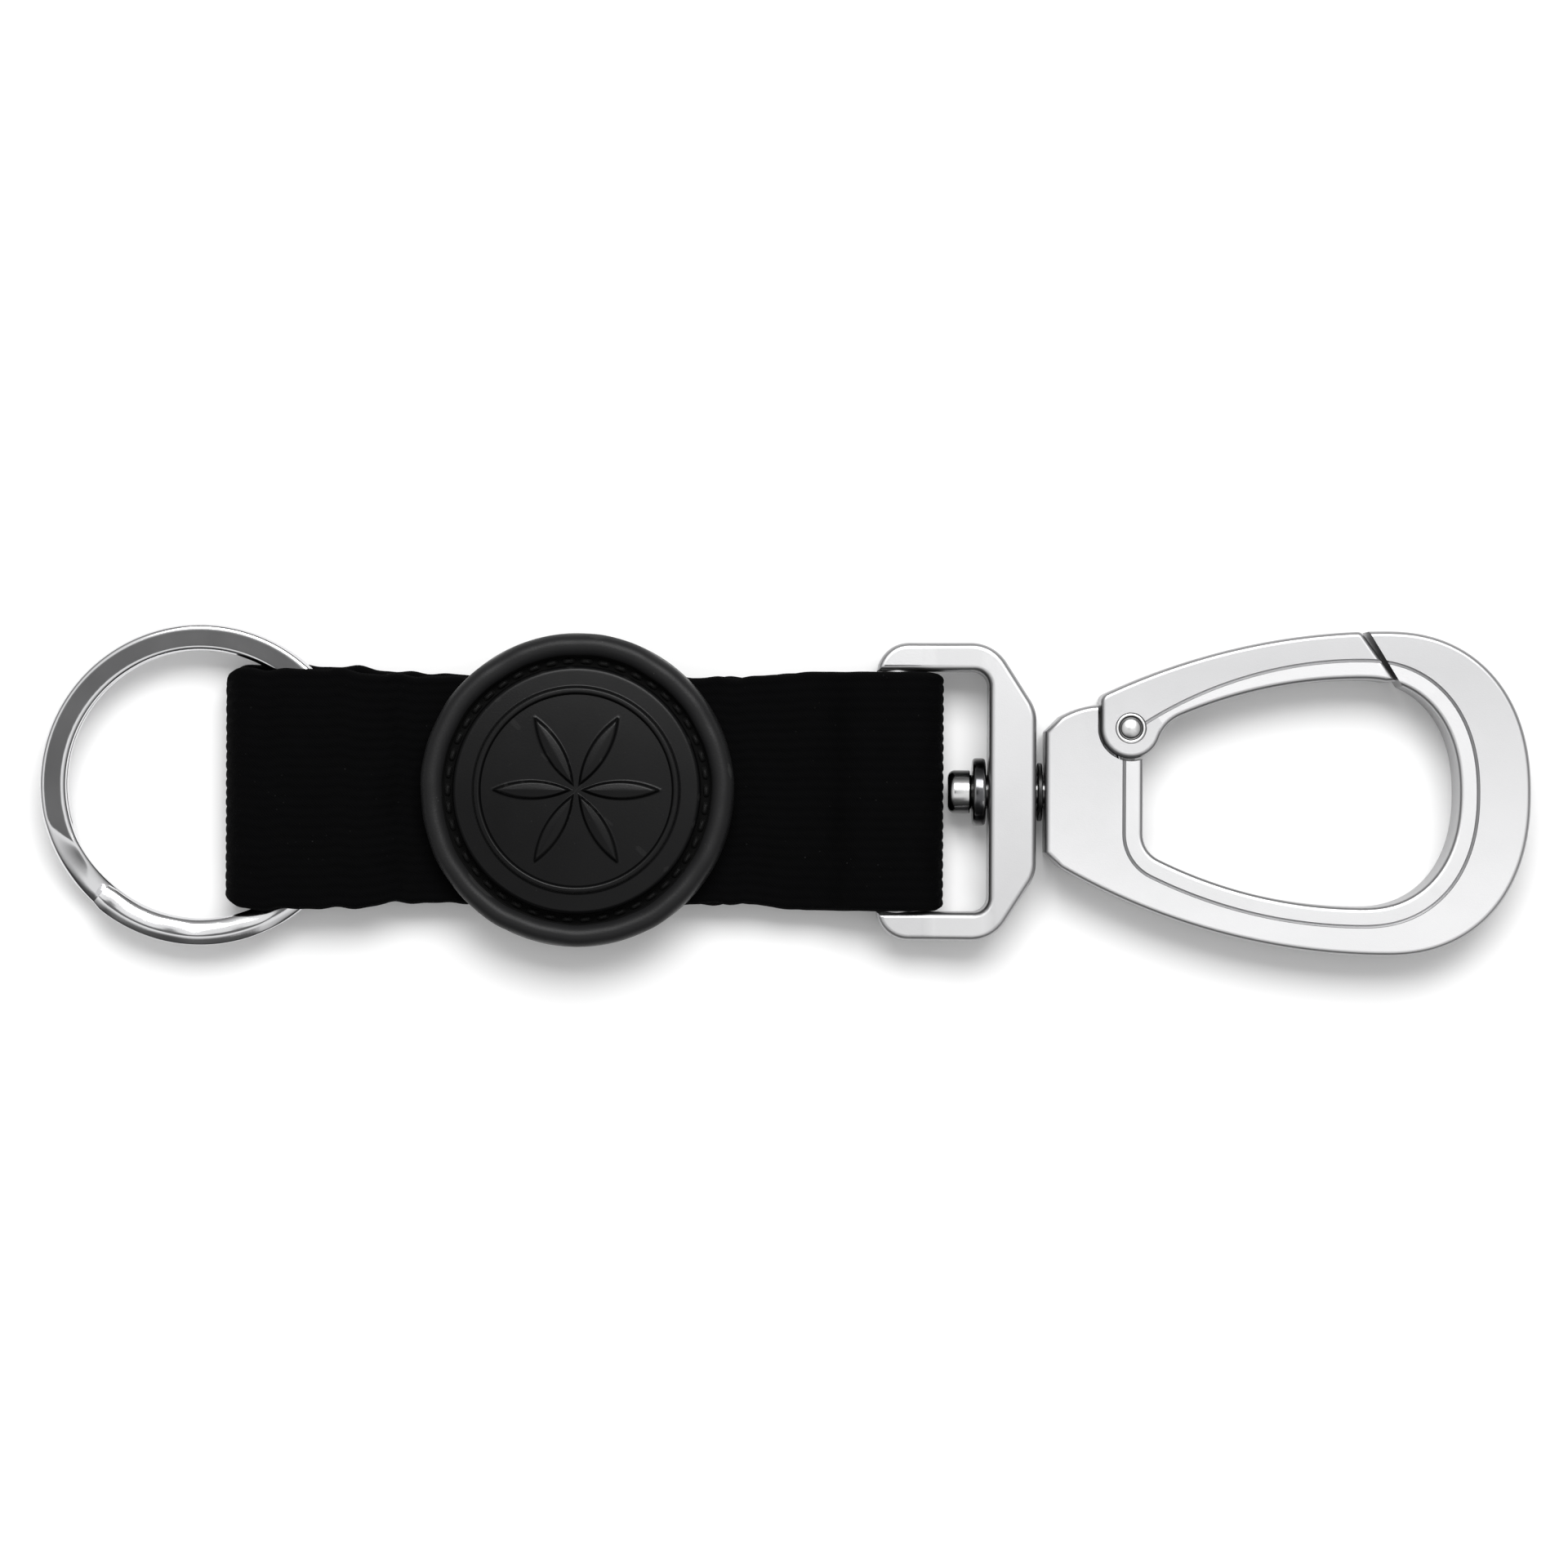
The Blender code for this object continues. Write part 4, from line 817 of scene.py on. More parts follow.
# %% Turned shapes
def spun(name, profile, axis, steps, centre=(0, 0, 0)):
    """A turned piece from (along, radius) points. Radius 0 closes it at the axis."""
    x, y, z = centre
    rings = []
    for i in range(steps):
        turn = 2 * math.pi * i / steps
        c, s = math.cos(turn), math.sin(turn)
        if axis == "Z":
            rings.append([(x + r * c, y + r * s, z + a) for a, r in profile])
        else:
            rings.append([(x + a, y + r * c, z + r * s) for a, r in profile])
    return skin(name, rings, close_around=profile[0][1] > 0, close_along=True)


def rod(name, start, end, radius, axis="Z", centre=(0, 0, 0)):
    """A plain cylinder along an axis, to cut with or to join."""
    return spun(name, [(start, 0), (start, radius), (end, radius), (end, 0)], axis, 48, centre)


def eased(profile, radius, steps=5):
    """The same profile with each inner corner rounded by the radius, where there is room."""
    points = [Vector(p) for p in profile]
    smooth = [tuple(points[0])]
    for before, corner, after in zip(points, points[1:], points[2:]):
        back, ahead = before - corner, after - corner
        room = min(radius, back.length * 0.45, ahead.length * 0.45)
        start = corner + back.normalized() * room
        end = corner + ahead.normalized() * room
        smooth += [tuple(p) for p in corner_curve(start, corner, end, steps)]
    return smooth + [tuple(points[-1])]


# %% The rubber cup
BADGE_RADIUS = 16.6 * MM
BADGE_HEIGHT = 3.4 * MM
RIM_WIDTH = 2.4 * MM
CUP_FLOOR = 1.2 * MM
CUP_RADIUS = BADGE_RADIUS - RIM_WIDTH
CUP_BASE_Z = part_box("badge_carrier")[0].z
BEAD, FOOT_ROUND, FLOOR_ROUND = RIM_WIDTH / 2, 0.5 * MM, 0.3 * MM
RIM_WAVES = [(5, 0.05, 1), (11, 0.035, 0), (23, 0.02, 0)]

foot_arc = arc((BADGE_RADIUS - FOOT_ROUND, FOOT_ROUND), FOOT_ROUND, -90, 0, 6)
bead_arc = arc((BADGE_RADIUS - BEAD, BADGE_HEIGHT - BEAD), BEAD, 0, 180, 28)
floor_arc = arc((CUP_RADIUS - FLOOR_ROUND, CUP_FLOOR + FLOOR_ROUND), FLOOR_ROUND, 0, -90, 5)
cup_profile = [(0, 0)] + [(0, r * MM) for r in (6, 12)]
cup_profile += [(p.y, p.x) for p in foot_arc + bead_arc + floor_arc]
cup_profile += [(CUP_FLOOR, r * MM) for r in (13.0, 9, 4)] + [(CUP_FLOOR, 0)]
cup_mesh = spun("badge_cup_moulded", cup_profile, "Z", 240, (BADGE_X, 0, CUP_BASE_Z))
for vert in cup_mesh.vertices:
    out = math.hypot(vert.co.x - BADGE_X, vert.co.y)
    if out > CUP_RADIUS and vert.co.z > CUP_BASE_Z + MM:
        turn = math.atan2(vert.co.y, vert.co.x - BADGE_X)
        wobble = sum(size * math.sin(count * turn + phase) for count, size, phase in RIM_WAVES)
        vert.co.z += min(wobble, 0) * MM
        sag = 1 + (wobble - 0.08) * MM / BADGE_RADIUS
        vert.co.x = BADGE_X + (vert.co.x - BADGE_X) * sag
        vert.co.y *= sag
print("the cup stands", round(BADGE_HEIGHT / MM, 2), "mm above the webbing")

# %% [markdown]
# The sewing shows in the channel between rim and disc: lockstitches of thick thread, each one
# a small bowed bar whose ends dive into the rubber. On the back the same seam comes out
# through the lower layer of webbing.

# %% Stitches
THREAD_RADIUS = 0.26 * MM
STITCH_RADIUS = 13.65 * MM
STITCH_COUNT = 46


def stitch(middle, outward, up, length, rise):
    """One bowed stitch as rings of points, its ends sunk below the surface."""
    along = outward.cross(up)
    rings = []
    for i in range(13):
        t = i / 12 * 2 - 1
        centre = middle + along * length / 2 * t + up * (rise * (1 - t * t) - THREAD_RADIUS * t**4)
        width = THREAD_RADIUS * (0.35 + 0.65 * math.sqrt(max(0, 1 - t**6)))
        rings.append([
            tuple(centre + outward * width * math.cos(a) + up * width * math.sin(a))
            for a in np.linspace(0, 2 * math.pi, 11)[:-1]
        ])
    return rings


def seam_way(number):
    """Direction from the badge's middle to one stitch of the round seam."""
    turn = 2 * math.pi * number / STITCH_COUNT
    return Vector((math.cos(turn), math.sin(turn), 0))


channel = Vector((BADGE_X, 0, CUP_BASE_Z + CUP_FLOOR + 0.05 * MM))
front_stitches = []
for number in range(STITCH_COUNT):
    outward = seam_way(number)
    spot = channel + outward * STITCH_RADIUS
    front_stitches.append(stitch(spot, outward, Vector((0, 0, 1)), 1.45 * MM, 0.22 * MM))
channel_mesh = joined_skins("badge_stitching", front_stitches)

# %% [markdown]
# On the back the seam follows the part of the circle that lies under the webbing. The lap's
# ends carry an extra row across.

# %% Stitches on the back
UNDER_LAYER_Z = MIDDLE_Z - LAYER_Z - WEB_THICKNESS / 2
UNDER_LAP_Z = MIDDLE_Z + LAP_Z - WEB_THICKNESS / 2
SEAM_MARGIN = 1.2 * MM
ROW_COUNT, ROW_PITCH, ROW_X = 15, 1.55 * MM, BADGE_X - 4.6 * MM

down = Vector((0, 0, -1))
under_badge = Vector((BADGE_X, 0, UNDER_LAYER_Z + 0.12 * MM))
back_stitches = []
for number in range(STITCH_COUNT):
    outward = seam_way(number + 0.5)
    spot = outward * STITCH_RADIUS
    if abs(spot.y) < WEB_WIDTH / 2 - SEAM_MARGIN and spot.x < 0:
        back_stitches.append(stitch(under_badge + spot, outward, down, 1.5 * MM, 0.12 * MM))
for number in range(ROW_COUNT):
    spot = Vector((ROW_X, (number - ROW_COUNT // 2) * ROW_PITCH, UNDER_LAP_Z + 0.22 * MM))
    back_stitches.append(stitch(spot, Vector((1, 0, 0)), down, 1.3 * MM, 0.12 * MM))
back_mesh = joined_skins("lap_stitching", back_stitches)
print(len(front_stitches), "stitches in the channel,", len(back_stitches), "on the back")

# %% [markdown]
# The disc is slightly domed and has a low rosette in a thin raised band: the plain six-leaf
# one that a pair of compasses draws. A signed distance to each leaf, eased over a few tenths
# of a millimetre, gives soft moulded edges instead of cut ones.

# %% The disc's height field
DISC_RADIUS = CUP_RADIUS - 1.1 * MM
DISC_BASE_Z = disc_low.z
DISC_EDGE_HEIGHT = BADGE_HEIGHT - CUP_FLOOR - 0.25 * MM
DISC_RISE = 0.45 * MM
DISC_LIP = 0.5 * MM
CROWN_RADIUS = (DISC_RADIUS**2 + DISC_RISE**2) / (2 * DISC_RISE)
RELIEF = 0.45 * MM
ROSETTE = 9.4 * MM
BAND_INNER, BAND_OUTER, BAND_EASE = 10.1 * MM, 10.9 * MM, 0.22 * MM
LEAF_EASE, LEAF_CROWN = 0.34 * MM, 1.1 * MM


def disc_height(radius, turn):
    """Height of the disc's face above its base."""
    dome = DISC_EDGE_HEIGHT + DISC_RISE - (CROWN_RADIUS - np.sqrt(CROWN_RADIUS**2 - radius**2))
    band = smooth_step((radius - BAND_INNER + 0.05 * MM) / BAND_EASE)
    band *= smooth_step((BAND_OUTER + 0.05 * MM - radius) / BAND_EASE)
    one_leaf = (turn + math.pi / 6) % (math.pi / 3) - math.pi / 6
    x = radius * np.cos(one_leaf) - ROSETTE / 2
    y = np.abs(radius * np.sin(one_leaf))
    drop = ROSETTE * math.cos(math.pi / 6) + 0.2 * MM
    inside = ROSETTE - np.hypot(x, y + drop)
    leaf = 0.82 + 0.18 * smooth_step(inside / LEAF_CROWN)
    leaf = smooth_step(inside / LEAF_EASE) * leaf
    edge = np.clip((radius - DISC_RADIUS + DISC_LIP) / DISC_LIP, 0, 1)
    fall = DISC_LIP * (1 - np.sqrt(1 - edge**2))
    return dome + RELIEF * np.maximum(band, leaf) - fall


over_lip = DISC_RADIUS - DISC_LIP * (1 - np.sin(np.linspace(0.12, 1.5, 9)))
radii = np.concatenate([np.linspace(0.02, 12.55, 96) * MM, over_lip, [DISC_RADIUS]])
foot = [(BADGE_X, 0, DISC_BASE_Z)]
disc_rings = []
for turn in np.linspace(0, 2 * math.pi, 361)[:-1]:
    c, s = math.cos(turn), math.sin(turn)
    z = DISC_BASE_Z + disc_height(radii, turn)
    z[-1] = min(z[-1], z[-2])
    face = np.stack([BADGE_X + radii * c, radii * s, z], axis=1)
    wall = [(BADGE_X + DISC_RADIUS * c, DISC_RADIUS * s, DISC_BASE_Z)]
    crown = [(BADGE_X, 0, DISC_BASE_Z + disc_height(np.array([0.0]), turn)[0])]
    disc_rings.append(np.concatenate([crown, face, wall, foot]))
disc_mesh = skin("badge_disc_moulded", disc_rings, close_around=False, close_along=True)
print("the disc's relief stands", round(RELIEF / MM, 2), "mm high")

# %% [markdown]
# Rubber and disc are both black, but the rubber is duller and has the fine tooth of its
# mould, while the disc is darker and satin. Relief edges are rubbed a touch paler. Deep in the
# channel the rubber is painted darker and made rougher, as painted shade.

# %% Finishes: rubber, disc and thread
def moulded_finish(name, black, worn, roughness, tooth, depth, dusting):
    """Black is for the flat places and worn for rubbed edges. Tooth and depth size the grain."""
    material, tree, shader = start_finish(name, Specular_IOR_Level=0.16)
    grain = use_group(tree, FINE_GRAIN, Size=tooth, Stretch=1.0)
    rubbed = use_group(tree, RUBBED_EDGES, From=0.505, To=0.56, Uneven=0.35)
    dust = use_group(tree, PALE_DUST, Spacing=0.8, Amount=dusting)
    painted_shade_mask = marks(tree, "painted_channel_shade")
    handled = mix_colours(tree, rubbed.outputs["Mask"], black, worn)
    dusty = mix_colours(tree, dust.outputs["Mask"], handled, (0.16, 0.16, 0.155))
    # Deep in the channel the rubber is painted near black, as painted shade.
    deep = mix_colours(tree, painted_shade_mask, dusty, (0.0015, 0.0015, 0.0015))
    tree.links.new(deep, shader.inputs["Base Color"])
    rough = ramp(tree, grain.outputs["Tone"], 0.0, 1.0, *roughness)
    matt = math_node(tree, "MULTIPLY", painted_shade_mask, 0.5)
    tree.links.new(math_node(tree, "ADD", rough, matt, clamp=True), shader.inputs["Roughness"])
    add_bump(tree, shader, grain.outputs["Height"], depth)
    return material


def thread_finish():
    material, tree, shader = start_finish(
        "black_sewing_thread", Sheen_Weight=0.02, Specular_IOR_Level=0.15
    )
    yarn = use_group(tree, TWISTED_YARN, Filament=0.1)
    black = mix_colours(tree, yarn.outputs["Tone"], (0.002, 0.002, 0.002), (0.007, 0.007, 0.007))
    tree.links.new(black, shader.inputs["Base Color"])
    vary(tree, shader, "Roughness", yarn.outputs["Height"], 0.4, 0.7)
    add_bump(tree, shader, yarn.outputs["Height"], 0.04 * MM)
    return material


CUP_RUBBER = moulded_finish(
    "black_moulded_rubber", (0.012, 0.012, 0.0125), (0.024, 0.024, 0.024), (0.36, 0.46),
    tooth=0.22, depth=0.018 * MM, dusting=0.3,
)
DISC_BLACK = moulded_finish(
    "black_satin_disc", (0.002, 0.002, 0.0022), (0.008, 0.008, 0.008), (0.26, 0.34),
    tooth=0.16, depth=0.006 * MM, dusting=0.15,
)
BLACK_THREAD = thread_finish()
# The channel's floor and walls are marked for painted shade.
cup_centres = face_centres(cup_mesh) - (BADGE_X, 0, CUP_BASE_Z)
inside = np.hypot(cup_centres[:, 0], cup_centres[:, 1]) < CUP_RADIUS + 0.25 * MM
deep_down = cup_centres[:, 2] < BADGE_HEIGHT - 0.7 * MM
mark_faces(cup_mesh, "painted_channel_shade", inside & deep_down)
add_piece("badge_cup_moulded", cup_mesh, "strap", CUP_RUBBER, ["badge_carrier"])
add_piece(
    "badge_disc_moulded", disc_mesh, "strap", DISC_BLACK, ["badge_disc"], 60
)
add_piece("badge_stitching", channel_mesh, "strap", BLACK_THREAD)
add_piece("lap_stitching", back_mesh, "strap", BLACK_THREAD)

# %% [markdown]
# ## The castings
#
# The frame, the hook and its gate are die castings: flat plates with round rims. A plate is
# made from its outline by stacking slightly smaller copies of it, which lets the rim follow
# a true quarter circle. The holes and slots are then cut with exact booleans.

# %% Outlines with round rims
RIM_STEPS = 7


def heading(vector):
    """Direction of a plane vector, in degrees."""
    return math.degrees(math.atan2(vector.y, vector.x))


def mirrored(points):
    """The same stretch on the lower side, walked the other way."""
    return [Vector((p.x, -p.y)) for p in reversed(points)]


def inset(loop, distance):
    """A closed outline moved inwards by the distance, or outwards by a negative one."""
    following = loop[1:] + loop[:1]
    side = math.copysign(1, sum(a.cross(b) for a, b in zip(loop, following)))
    moved = []
    for i, point in enumerate(loop):
        before = (point - loop[i - 1]).normalized()
        after = (following[i] - point).normalized()
        inward = side * Vector((-after.y, after.x))
        middle = (inward + side * Vector((-before.y, before.x))).normalized()
        moved.append(point + middle * distance / max(middle.dot(inward), 0.4))
    return moved


def rim_levels(thickness, edge):
    """(inset, height) of each ring of a rim, from the lower face to the upper."""
    if edge == 0:
        return [(0, -thickness / 2), (0, thickness / 2)]
    turns = [math.pi / 2 * i / RIM_STEPS for i in range(RIM_STEPS + 1)]
    lower = [(edge + 0.04 * MM, -thickness / 2)]
    lower += [(edge * (1 - math.sin(a)), edge * (1 - math.cos(a)) - thickness / 2) for a in turns]
    return lower + [(across, -z) for across, z in reversed(lower)]


def plate(name, outline, thickness, hole=None, middle_z=0.0, edge=0.0):
    """A flat plate with rims rounded by edge and one optional hole, centred on middle_z."""
    shape = bmesh.new()
    caps = [[], []]
    for loop, inwards in [(outline, 1), (hole, -1)]:
        if loop is None:
            continue
        rings = [
            [shape.verts.new((p.x, p.y, middle_z + z)) for p in inset(loop, inwards * across)]
            for across, z in rim_levels(thickness, edge)
        ]
        for ring_now, ring_next in zip(rings, rings[1:]):
            for i in range(len(ring_now)):
                shape.faces.new((ring_now[i - 1], ring_now[i], ring_next[i], ring_next[i - 1]))
        for cap, ring_now in zip(caps, (rings[0], rings[-1])):
            cap += [shape.edges.get((ring_now[i - 1], ring_now[i])) for i in range(len(ring_now))]
    for cap in caps:
        bmesh.ops.triangle_fill(shape, edges=cap, use_beauty=True)
    bmesh.ops.recalc_face_normals(shape, faces=shape.faces)
    mesh = bpy.data.meshes.new(name)
    shape.to_mesh(mesh)
    shape.free()
    return mesh


# %% [markdown]
# A boolean needs objects, so each cut is set up with throw-away ones. The result is read back
# as a plain mesh, and the helpers are removed again: the finished piece keeps no modifier
# that depends on them.

# %% Cut and join
def carve(mesh, steps, offset):
    """Applies (operation, tool mesh) steps to a mesh in its own frame, then moves it by offset."""
    base = bpy.data.objects.new("blank", mesh)
    scene.collection.objects.link(base)
    tools = []
    for operation, tool_mesh in steps:
        turn_out(tool_mesh)
        tool = bpy.data.objects.new("tool", tool_mesh)
        scene.collection.objects.link(tool)
        tools.append(tool)
        boolean = base.modifiers.new("cut", "BOOLEAN")
        boolean.operation = operation
        boolean.solver = "EXACT"
        boolean.object = tool
    graph = bpy.context.evaluated_depsgraph_get()
    result = bpy.data.meshes.new_from_object(base.evaluated_get(graph))
    for spent in [base] + tools:
        bpy.data.objects.remove(spent)
    result.transform(Matrix.Translation(offset))
    return result


def weigh_normals(piece):
    """Lets large flat faces set the shading, so that rims don't darken them."""
    weighted = piece.modifiers.new("flat_faces_lead", "WEIGHTED_NORMAL")
    weighted.keep_sharp = True
    weighted.weight = 90


# %% [markdown]
# ### The swivel frame
#
# A cast eye: a thick wall that the post passes through, two slim arms, and a round bar that
# the webbing is folded round. The arms are thinner than the wall, so the plate's two faces
# are drawn in towards the bar.

# %% The frame's blank
FRAME_TAIL = 2.15 * MM
BAR_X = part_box("swivel_frame")[0].x + FRAME_TAIL
BAR_RADIUS, BAR_REACH = 2 * MM, 13.15 * MM
FRAME_WALL_X = 9.7 * MM
FRAME_WALL_WIDTH = 5 * MM
FRAME_NOSE_X = FRAME_WALL_X + FRAME_WALL_WIDTH
FRAME_NOSE_HALF = 8.7 * MM
FRAME_WALL_THICKNESS = 7.2 * MM
FRAME_ARM_THICKNESS = 4.6 * MM
FRAME_BORE = 2.1 * MM
SLOT_HALF = 12.75 * MM
FRAME_HALF = 15.75 * MM
FRAME_EDGE = 0.6 * MM
TAIL_ROUND, SHOULDER_ROUND, NOSE_ROUND, SLOT_ROUND = 3.4 * MM, 4.5 * MM, 4 * MM, 1.6 * MM
ARM_SLOPE = (0.35 * FRAME_WALL_X, FRAME_WALL_X)
SLOPE_FILLET = 0.6 * MM


def rounded(corners, steps=14):
    """Outline through (x, y, radius) corners, each one rounded by its radius."""
    outline = []
    for i, (x, y, radius) in enumerate(corners):
        corner = Vector((x, y))
        before = (Vector(corners[i - 1][:2]) - corner).normalized()
        after = (Vector(corners[(i + 1) % len(corners)][:2]) - corner).normalized()
        half = before.angle(after) / 2
        centre = corner + (before + after).normalized() * radius / math.sin(half)
        first = corner + before * radius / math.tan(half) - centre
        last = corner + after * radius / math.tan(half) - centre
        turn = (heading(last) - heading(first) + 180) % 360 - 180
        outline += arc(centre, radius, heading(first), heading(first) + turn, steps)
    return outline


def frame_outline():
    """The frame's U, from its upper tail round the nose, and back along the slot."""
    side = [
        (-FRAME_TAIL, FRAME_HALF, TAIL_ROUND),
        (FRAME_NOSE_X - SHOULDER_ROUND, FRAME_HALF, SHOULDER_ROUND),
        (FRAME_NOSE_X, FRAME_NOSE_HALF, NOSE_ROUND),
    ]
    outer = rounded(side + [(x, -y, r) for x, y, r in reversed(side)])
    outer = [p for p in outer if abs(p.y) > SLOT_HALF + FRAME_EDGE or p.x > FRAME_WALL_X]
    sunk = SLOT_HALF + TAIL_ROUND - FRAME_HALF
    tip = Vector((TAIL_ROUND - FRAME_TAIL - math.sqrt(TAIL_ROUND**2 - sunk**2), SLOT_HALF))
    corner = (FRAME_WALL_X - SLOT_ROUND, SLOT_HALF - SLOT_ROUND)
    slot = arc(corner, SLOT_ROUND, 0, 90, 14) + [tip]
    return outer + mirrored(slot) + slot


def thin_arms(mesh):
    """Draws the plate's faces in from the wall's thickness to the arms' thickness."""
    thin_x, thick_x = ARM_SLOPE
    shape = bmesh.new()
    shape.from_mesh(mesh)
    for x in np.linspace(thin_x - 2 * SLOPE_FILLET, thick_x + 2 * SLOPE_FILLET, 30):
        everything = list(shape.verts) + list(shape.edges) + list(shape.faces)
        at = (float(x), 0, 0)
        bmesh.ops.bisect_plane(shape, geom=everything, plane_co=at, plane_no=(1, 0, 0), dist=1e-6)
    for vert in shape.verts:
        shifts = vert.co.x + np.linspace(-SLOPE_FILLET, SLOPE_FILLET, 5)
        blend = float(np.clip((shifts - thin_x) / (thick_x - thin_x), 0, 1).mean())
        drop = (FRAME_WALL_THICKNESS - FRAME_ARM_THICKNESS) / 2 * (1 - blend)
        vert.co.z -= math.copysign(drop, vert.co.z)
    shape.to_mesh(mesh)
    shape.free()
    return mesh


# %% Cast the frame
bar_mesh = rod("bar", -BAR_REACH, BAR_REACH, BAR_RADIUS)
bar_mesh.transform(Matrix.Rotation(math.pi / 2, 4, "X"))
bore_mesh = rod("bore", FRAME_WALL_X - MM, FRAME_NOSE_X + MM, FRAME_BORE, "X")
frame_blank = plate("frame_blank", frame_outline(), FRAME_WALL_THICKNESS, edge=FRAME_EDGE)
eye_mesh = carve(
    thin_arms(frame_blank), [("UNION", bar_mesh), ("DIFFERENCE", bore_mesh)],
    (BAR_X, 0, MIDDLE_Z),
)
print("frame:", len(eye_mesh.polygons), "faces")

# %% [markdown]
# Satin casting: a pale metal with a fine even grain from tumbling, slow patches of slightly
# different gloss, and rims that are polished by handling. Upright sides and steep rims are
# painted a greyer colour as painted shade. Two marks on the mesh steer it: the border beside
# the opening has greys of its own, painted lighter on the frame's sloping arms as painted
# light, and the engraved line is painted dark as painted shade. The gate's side is painted a
# shade darker than the other side, as painted shade.

# %% Finish: satin casting
def cast_finish(name, plain_greys, strip_greys):
    """Greys of the plain faces and of the border: the gate's side is second in each pair, and where
    it is darker that is painted shade.
    """
    material, tree, shader = start_finish(name, Metallic=1.0)
    grain = use_group(tree, FINE_GRAIN, Size=0.14, Stretch=1.0)
    rubbed = use_group(tree, RUBBED_EDGES, From=0.51, To=0.58, Uneven=0.45)
    sides = use_group(tree, PAINTED_SIDE_SHADE, Steep=0.78, Level=0.95)
    place = add_node(tree, "ShaderNodeSeparateXYZ", {0: place_in_mm(tree)})
    # Painted shade: the colour goes towards the second grey of each pair on the gate's side.
    gate_side_shade = ramp(tree, place.outputs["Y"], -13.0, 13.0)
    plain, strip = [
        mix_colours(tree, gate_side_shade, *[(grey, grey, grey + 0.005) for grey in greys])
        for greys in (plain_greys, strip_greys)
    ]
    face = mix_colours(tree, marks(tree, "border_strip_and_painted_light"), plain, strip)
    tone = grain.outputs["Tone"]
    toned = mix_colours(tree, tone, face, (0.97, 0.97, 0.97), blend_type="MULTIPLY")
    # Upright sides and the engraved line are painted a darker grey, as painted shade.
    painted_shade_mask = math_node(tree, "MAXIMUM", sides.outputs["Mask"], marks(tree, "painted_shade_faces"))
    cast_with_painted_shade = mix_colours(tree, painted_shade_mask, toned, (0.38, 0.38, 0.385))
    tree.links.new(cast_with_painted_shade, shader.inputs["Base Color"])
    gloss = math_node(tree, "MULTIPLY", rubbed.outputs["Mask"], -0.4)
    vary(tree, shader, "Roughness", math_node(tree, "ADD", gloss, tone), 0.34, 0.4)
    add_bump(tree, shader, grain.outputs["Height"], 0.005 * MM)
    return material


# On the frame the border greys paint the arms' slope lighter, as painted light.
FRAME_CAST = cast_finish("satin_cast_frame", (0.51, 0.51), (0.7, 0.68))
# On the hook the gate's side is painted darker, as painted shade.
HOOK_CAST = cast_finish("satin_cast_hook", (0.66, 0.43), (0.62, 0.55))
# The arms' slope is marked for its painted light.
eye_x = np.array([vert.co.x for vert in eye_mesh.vertices]) - BAR_X
from_end = np.minimum(eye_x - ARM_SLOPE[0], ARM_SLOPE[1] - eye_x)
on_slope = np.clip(0.5 + from_end / (2 * SLOPE_FILLET), 0, 1)
eye_mesh.attributes.new("border_strip_and_painted_light", "FLOAT", "POINT").data.foreach_set("value", on_slope)
eye = add_piece(
    "swivel_frame_cast", eye_mesh, "eye", FRAME_CAST, ["swivel_frame"], 30
)
weigh_normals(eye)

# %% [markdown]
# ### The hook's outlines
#
# The hook is a pear-shaped link. Its flanks are long arcs and its bow is a superellipse,
# squarer than a circle. The same curves shape the outer edge, the opening, the gate and the
# engraved border, so they are functions that every one of them can call.

# %% Curves of the hook
HOOK_THICKNESS = 7 * MM
HOOK_EDGE = 0.5 * MM
HOOK_LENGTH = 51.3 * MM
HOOK_HALF_WIDTH = 17.15 * MM
HOOK_WIDEST_X = 36 * MM
HUB_SHOULDER_X, HUB_SHOULDER_HALF = 1.6 * MM, 8 * MM
HUB_FACE_HALF = 6.4 * MM
HUB_DEPTH = 10.3 * MM
LIMB_WIDTH, BOW_WIDTH = 5.1 * MM, 7.6 * MM
OPENING_WIDEST_X = 33.5 * MM
OPENING_FLANK_RADIUS = 48.9 * MM
OPENING_CORNER = 3 * MM
FLANK_RISE = HOOK_HALF_WIDTH - HUB_SHOULDER_HALF
FLANK_RUN = HOOK_WIDEST_X - HUB_SHOULDER_X
FLANK_RADIUS = (FLANK_RUN**2 + FLANK_RISE**2) / (2 * FLANK_RISE)
FLANK_CENTRE = Vector((HOOK_WIDEST_X, HOOK_HALF_WIDTH - FLANK_RADIUS))
OPENING_HALF = HOOK_HALF_WIDTH - LIMB_WIDTH
OPENING_END_X = HOOK_LENGTH - BOW_WIDTH
PIVOT_X = 9 * MM
PIVOT_INSET = 4.87 * MM
PIVOT_RISE = math.sqrt(FLANK_RADIUS**2 - (HOOK_WIDEST_X - PIVOT_X) ** 2)
PIVOT_Y = FLANK_CENTRE.y + PIVOT_RISE - PIVOT_INSET
PIVOT = Vector((PIVOT_X, PIVOT_Y))
KNUCKLE_RADIUS = 3.2 * MM
RUNNING_GAP = 0.3 * MM
SHOULDER_DIP = 0.85 * MM
BOW_POWER = 2.25
NOSE_X, NOSE_DEG = 34.1 * MM, 121.5
FLANK_STEPS = 40
HOOK_PLACE = (HOOK_X, 0, MIDDLE_Z)


def flank_point(x):
    """Point of the hook's outer edge above X, between the hub's shoulder and the widest place."""
    return Vector((x, FLANK_CENTRE.y + math.sqrt(FLANK_RADIUS**2 - (HOOK_WIDEST_X - x) ** 2)))


